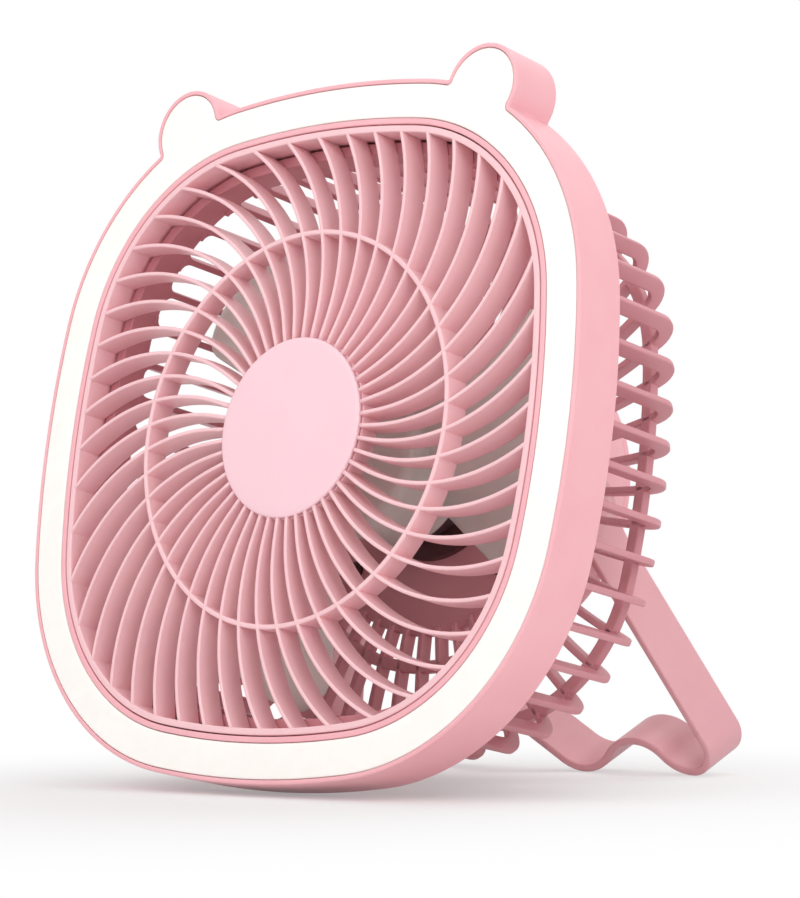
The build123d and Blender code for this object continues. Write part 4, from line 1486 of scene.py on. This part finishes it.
@dataclass
class Fasteners:
    """Screw heads with cross recesses, and the stand's domed pins."""

    head: float = 2.5
    thick: float = 1.6
    slot: float = 0.42
    arm: float = 1.55
    recess: float = 0.9
    dome: float = 0.45
    shank: float = 1.2
    flange_inset: float = 6.95
    post_radius: float = 40.0
    motor_radius: float = 20.0
    pivot_rise: float = -7.5
    pivot_depth: float = 80.2

    def screw(self, x: float, y: float, seat: float, tip: float) -> Surface:
        """One screw: a domed head cut by a cross, and a plain shank, spun about its axis.

        The head's height is thick (1 - dome (r / head)^4), less the recess where the point
        lies within a slot's half width of either arm.

        Args:
            x: Place to the right.
            y: Place up the face.
            seat: Depth under the head.
            tip: Depth of the shank's tip.

        Returns:
            The screw's skin in the head's frame.
        """
        facing = 1.0 if tip < seat else -1.0
        r = np.array([0.08, 0.25, 0.41, 0.45, 0.7, 1.0, 1.3, 1.5, 1.6, 1.9, 2.2, 2.4, self.head])
        t = np.linspace(0, 2 * np.pi, 64, endpoint=False)
        px, py = r[:, None] * np.cos(t), r[:, None] * np.sin(t)
        across, along = np.minimum(abs(px), abs(py)), np.maximum(abs(px), abs(py))
        cut = (across < self.slot) & (along < self.arm)
        height = self.thick * (1 - self.dome * (r / self.head) ** 4)[:, None] - self.recess * cut
        top = np.stack([px, py, facing * height], axis=-1)
        lower = np.array([(self.head, 0.0), (self.shank, 0.0), (self.shank, abs(seat - tip))])
        ring = lower[:, :1, None] * np.stack([np.cos(t), np.sin(t), 0 * t], axis=-1)[None]
        ring = ring + (-facing * lower[:, 1:, None]) * np.array([0.0, 0.0, 1.0])
        return skin(np.concatenate([top, ring]) + np.array([x, y, seat]), caps=True)

    def build_set(
        self, name: str, node: str, places: Array, seat: float, tip: float, finish: WorkedMetal
    ) -> bpy.types.Object:
        """A set of equal screws.

        Args:
            name: The piece's name.
            node: The CAD node that it stands for.
            places: Places on the face.
            seat: Depth under the heads.
            tip: Depth of the shanks' tips.
            finish: Finish of the steel.

        Returns:
            The screws' object.
        """
        screws = joined([self.screw(x, y, seat, tip) for x, y in places])
        return make_piece(name, screws, HEAD, Body.HEAD, finish, [node])

    def build(self) -> None:
        """All screw sets, each with its places, the depth under its heads and that of its tips."""
        flange = np.array(outline_places(self.flange_inset, 8, 0.5))
        posts = circle_places(self.post_radius, 4, 45)
        motor = circle_places(self.motor_radius, 3, 90)
        rows = (
            ("flange_screws", "basket_screws", flange, 18.0, 10.8, PLATED),
            ("lid_screws", "cover_screws", posts, 98.8, 92.8, PLATED),
            # The pod's and the motor's screws take the steel whose dark pink tint is painted shade.
            ("pod_screws", "housing_screws", posts, 66.5, 75.0, SHADE_TINTED_STEEL),
            ("motor_fixings", "motor_screws", motor, 64.0, 70.0, SHADE_TINTED_STEEL),
        )
        for row in rows:
            self.build_set(*row)

    def build_pins(self) -> bpy.types.Object:
        """Pivot pins: a shank and a shallow dome with a rounded rim, spun about the cross axis.

        Returns:
            The pins' object.
        """
        profile = np.array([
            (2.0, 44.6), (2.0, 50.85), (4.6, 50.85), (5.0, 51.2), (5.0, 51.8),
            (4.8, 52.2), (4.3, 52.5), (3.0, 52.72), (1.0, 52.74),
        ])
        t = np.linspace(0, 2 * np.pi, 56, endpoint=False)
        rise = self.pivot_rise + profile[:, :1] * np.cos(t)
        depth = self.pivot_depth + profile[:, :1] * np.sin(t)
        grid = np.stack(np.broadcast_arrays(profile[:, 1:], rise, depth), axis=-1)
        mirror = np.array([-1.0, 1.0, 1.0])
        pins = joined([skin(grid, caps=True), skin(grid * mirror, caps=True)])
        return make_piece("domed_pins", pins, HEAD, Body.HEAD, STRAP_PINK, ["pivot_pins"])


def circle_places(radius: float, count: int, first: float) -> Array:
    """Places spread evenly round the fan's axis.

    Args:
        radius: Radius of the circle.
        count: Number of places.
        first: Angle of the first place in degrees.

    Returns:
        The places.
    """
    turn = np.radians(first + 360 * np.arange(count) / count)
    return radius * np.stack([np.cos(turn), np.sin(turn)], axis=-1)


def outline_places(inset: float, count: int, first: float) -> list[tuple[float, float]]:
    """Places spread evenly along an inset outline, clockwise from the top side's left end.

    Args:
        inset: Inset of the line.
        count: Number of places.
        first: Share of a step before the first place.

    Returns:
        The places.
    """
    angle = np.pi / 2 - OUTLINE.angles(400, 400)
    points, normals = OUTLINE.at(angle)
    line = points - inset * normals
    steps = np.hypot(*(np.roll(line, -1, axis=0) - line).T)
    travelled = np.concatenate([[0.0], np.cumsum(steps)[:-1]])
    wanted = (np.arange(count) + first) / count * steps.sum()
    index = np.searchsorted(travelled, wanted)
    return [tuple(p) for p in line[index % len(line)]]


@dataclass
class Buttons:
    """Two round buttons with dished tops."""

    radius: float = 4.5
    flange: float = 5.7
    rest: float = 96.6
    top: float = 101.6
    spread: float = 11.0
    rise: float = 14.0

    def build(self) -> None:
        """Buttons: a flange, a straight side, a rounded rim and a dish 0.35 deep, spun."""
        profile = np.array([
            (self.flange, self.rest), (self.flange, self.rest + 0.9), (self.radius, self.rest + 1.0),
            (self.radius, self.top - 0.6), (self.radius - 0.12, self.top - 0.2),
            (self.radius - 0.45, self.top), (self.radius - 0.9, self.top - 0.04),
            (2.6, self.top - 0.22), (1.4, self.top - 0.32), (0.4, self.top - 0.35),
        ])
        sides = ((-1, Body.LIGHT_BUTTON, "light_button"), (1, Body.SPEED_BUTTON, "speed_button"))
        for side, body, node in sides:
            button = spun(profile, 64, (side * self.spread, self.rise))
            make_piece("dished_" + node, button, HEAD, body, KEY_PINK, [node])


@dataclass
class Interior:
    """CAD nodes that stay as they are and get their finishes."""

    finishes: dict[str, Finish] = field(default_factory=lambda: {
        "light_board": LIGHT_BOARD,
        "light_chips": CHIPS,
        "battery_cell": SLEEVE,
        "battery_contacts": CONTACT,
        "control_board": BOARD,
        "tact_switches": SWITCH,
        "usb_socket": SOCKET,
        # The motor base's dark maroon is painted shade.
        "motor_base": SHADE_DARK_CASTING,
        "shaft_bearings": BRONZE,
        "stator_core": SHEETS,
        "stator_coils": COPPER,
        "rotor_can": DRAWN_CUP,
        "rotor_magnet": MAGNET,
        "motor_shaft": POLISHED,
        "impeller_nut": PLATED,
        "friction_washers": NYLON,
        "rear_housing": SHELL,
        "housing_cover": SHELL,
    })

    def dress(self) -> None:
        """Give every carried-over node its finish."""
        for node, finish in self.finishes.items():
            mesh = frame["nodes"][node].data
            mesh.materials.clear()
            mesh.materials.append(finish.material())
            LOG.info("%s: %s", node, finish.name)

    def soften_pod(self) -> None:
        """Round the pod's and the lid's edges on copies."""
        width = 0.5
        soften("pod_shell", "rear_housing", Body.HEAD, SHELL, width)
        soften("pod_lid", "housing_cover", Body.HEAD, SHELL, width)


@dataclass
class Studio:
    """Camera, floor, soft lamps and the pale surroundings."""

    eye: Triple = (583.48, -674.0, 64.76)
    right: Triple = (0.75583, 0.65444, -0.0204)
    ahead: Triple = (-0.65356, 0.75597, 0.03698)
    focal: float = 121.0
    ambient: float = 0.45
    floor_half: float = 3.0
    floor_middle: Triple = (0.0, -0.05, 0.0)
    # Distances over which the painted grey shadow pool round the fan fades to white.
    shadow_pool_fade: tuple[float, float] = (0.03, 0.24)
    floor_white: float = 0.3

    def camera(self) -> None:
        """Camera at the photograph's viewing place."""
        data = bpy.data.cameras.new("view")
        data.lens = self.focal
        data.sensor_width = 36.0
        data.clip_start, data.clip_end = 0.02, 20.0
        ahead = Vector(self.ahead).normalized()
        right = Vector(self.right).normalized()
        up = right.cross(ahead).normalized()
        right = ahead.cross(up).normalized()
        turn = Matrix((right, up, -ahead)).transposed().to_4x4()
        camera = bpy.data.objects.new("view", data)
        camera.matrix_world = Matrix.Translation(Vector(self.eye) * MM) @ turn
        bpy.context.scene.collection.objects.link(camera)
        bpy.context.scene.camera = camera

    def lamp(
        self, name: str, place: Sequence[float], aim: Sequence[float], size: float, power: float
    ) -> None:
        """One soft square lamp.

        Args:
            name: The lamp's name.
            place: Where it stands, in metres.
            aim: What it points at, in metres.
            size: Its side, in metres.
            power: Its power in watts.
        """
        data = bpy.data.lights.new(name, "AREA")
        data.size = size
        data.energy = power
        lamp = bpy.data.objects.new(name, data)
        lamp.location = place
        lamp.rotation_mode = "QUATERNION"
        lamp.rotation_quaternion = (Vector(aim) - Vector(place)).to_track_quat("-Z", "Y")
        bpy.context.scene.collection.objects.link(lamp)

    def seen(self, tree: Tree) -> Sock:
        """Mask of the rays that see the surroundings directly, in gloss or through glass."""
        kinds = ("Is Camera Ray", "Is Glossy Ray", "Is Transmission Ray")
        camera, glossy, through = (tree.add("ShaderNodeLightPath", {}, {}, kind) for kind in kinds)
        total = camera + glossy + through
        return tree.add("ShaderNodeMath", {"operation": "MINIMUM"}, {0: total, 1: 1.0})

    def surroundings(self) -> None:
        """World: white where it is seen, and a plain pale light elsewhere."""
        world = bpy.data.worlds.new("studio")
        bpy.context.scene.world = world
        tree = Tree(world)
        light = tree.add("ShaderNodeBackground", {}, {"Color": WHITE, "Strength": self.ambient})
        white = tree.add("ShaderNodeBackground", {}, {"Color": WHITE, "Strength": 1.0})
        mixed = tree.add("ShaderNodeMixShader", {}, {0: self.seen(tree), 1: light, 2: white})
        tree.add("ShaderNodeOutputWorld", {}, {"Surface": mixed})

    def floor(self) -> None:
        """Floor: mostly pale near the fan, where it takes the lamps' shadow and a painted grey shadow
        pool, and plain white further out.
        """
        material = bpy.data.materials.new("pale_floor_painted_shadow_pool")
        tree = Tree(material)
        where = tree.coordinates()
        settings = {"operation": "DISTANCE"}
        away = tree.add("ShaderNodeVectorMath", settings, {0: where, 1: self.floor_middle}, 1)
        paper = tree.noise(1.5, 2.0, where)
        shade = tree.blend(paper, (0.87, 0.87, 0.87), (0.85, 0.85, 0.85))
        pale = tree.add("ShaderNodeBsdfDiffuse", {}, {"Color": shade})
        white = tree.add("ShaderNodeEmission", {}, {"Color": WHITE, "Strength": 1.0})
        # Painted shadow: the white share grows with distance from the fan, so a grey pool is painted
        # round the fan besides the lamps' real shadow.
        pool_fade = tree.steps(away, *self.shadow_pool_fade)
        far = (self.floor_white + (1 - self.floor_white) * pool_fade) * self.seen(tree)
        mixed = tree.add("ShaderNodeMixShader", {}, {0: far, 1: pale, 2: white})
        tree.add("ShaderNodeOutputMaterial", {}, {"Surface": mixed})
        half = self.floor_half
        corners = [(-half, -half, 0.0), (half, -half, 0.0), (half, half, 0.0), (-half, half, 0.0)]
        mesh = bpy.data.meshes.new("floor")
        mesh.from_pydata(corners, [], [(0, 1, 2, 3)])
        mesh.materials.append(material)
        floor = bpy.data.objects.new("floor", mesh)
        bpy.context.scene.collection.objects.link(floor)

    def build(self) -> None:
        """Camera, floor, lamps and world."""
        self.camera()
        self.floor()
        self.surroundings()
        target = (0.0, 0.0, 0.10)
        self.lamp("key", (-0.45, -1.00, 0.95), target, 1.2, 6.8)
        self.lamp("side", (1.15, -0.55, 0.60), target, 0.9, 6.8)
        self.lamp("top", (0.15, 0.50, 1.35), target, 1.2, 6.6)
        bpy.context.scene.view_settings.view_transform = "Standard"


def main() -> None:
    """Build every sub-assembly in order, dress the rest and set the scene."""
    logging.basicConfig(level=logging.INFO, format="%(name)s: %(message)s")
    shell = FrontShell()
    shell.build_frame()
    shell.build_lens()
    grille = Grille()
    grille.build()
    grille.build_cap()
    Cage().build()
    Impeller().build()
    Stand().build()
    fasteners = Fasteners()
    fasteners.build()
    fasteners.build_pins()
    Buttons().build()
    interior = Interior()
    interior.dress()
    interior.soften_pod()
    Studio().build()


if __name__ == "__main__":
    main()
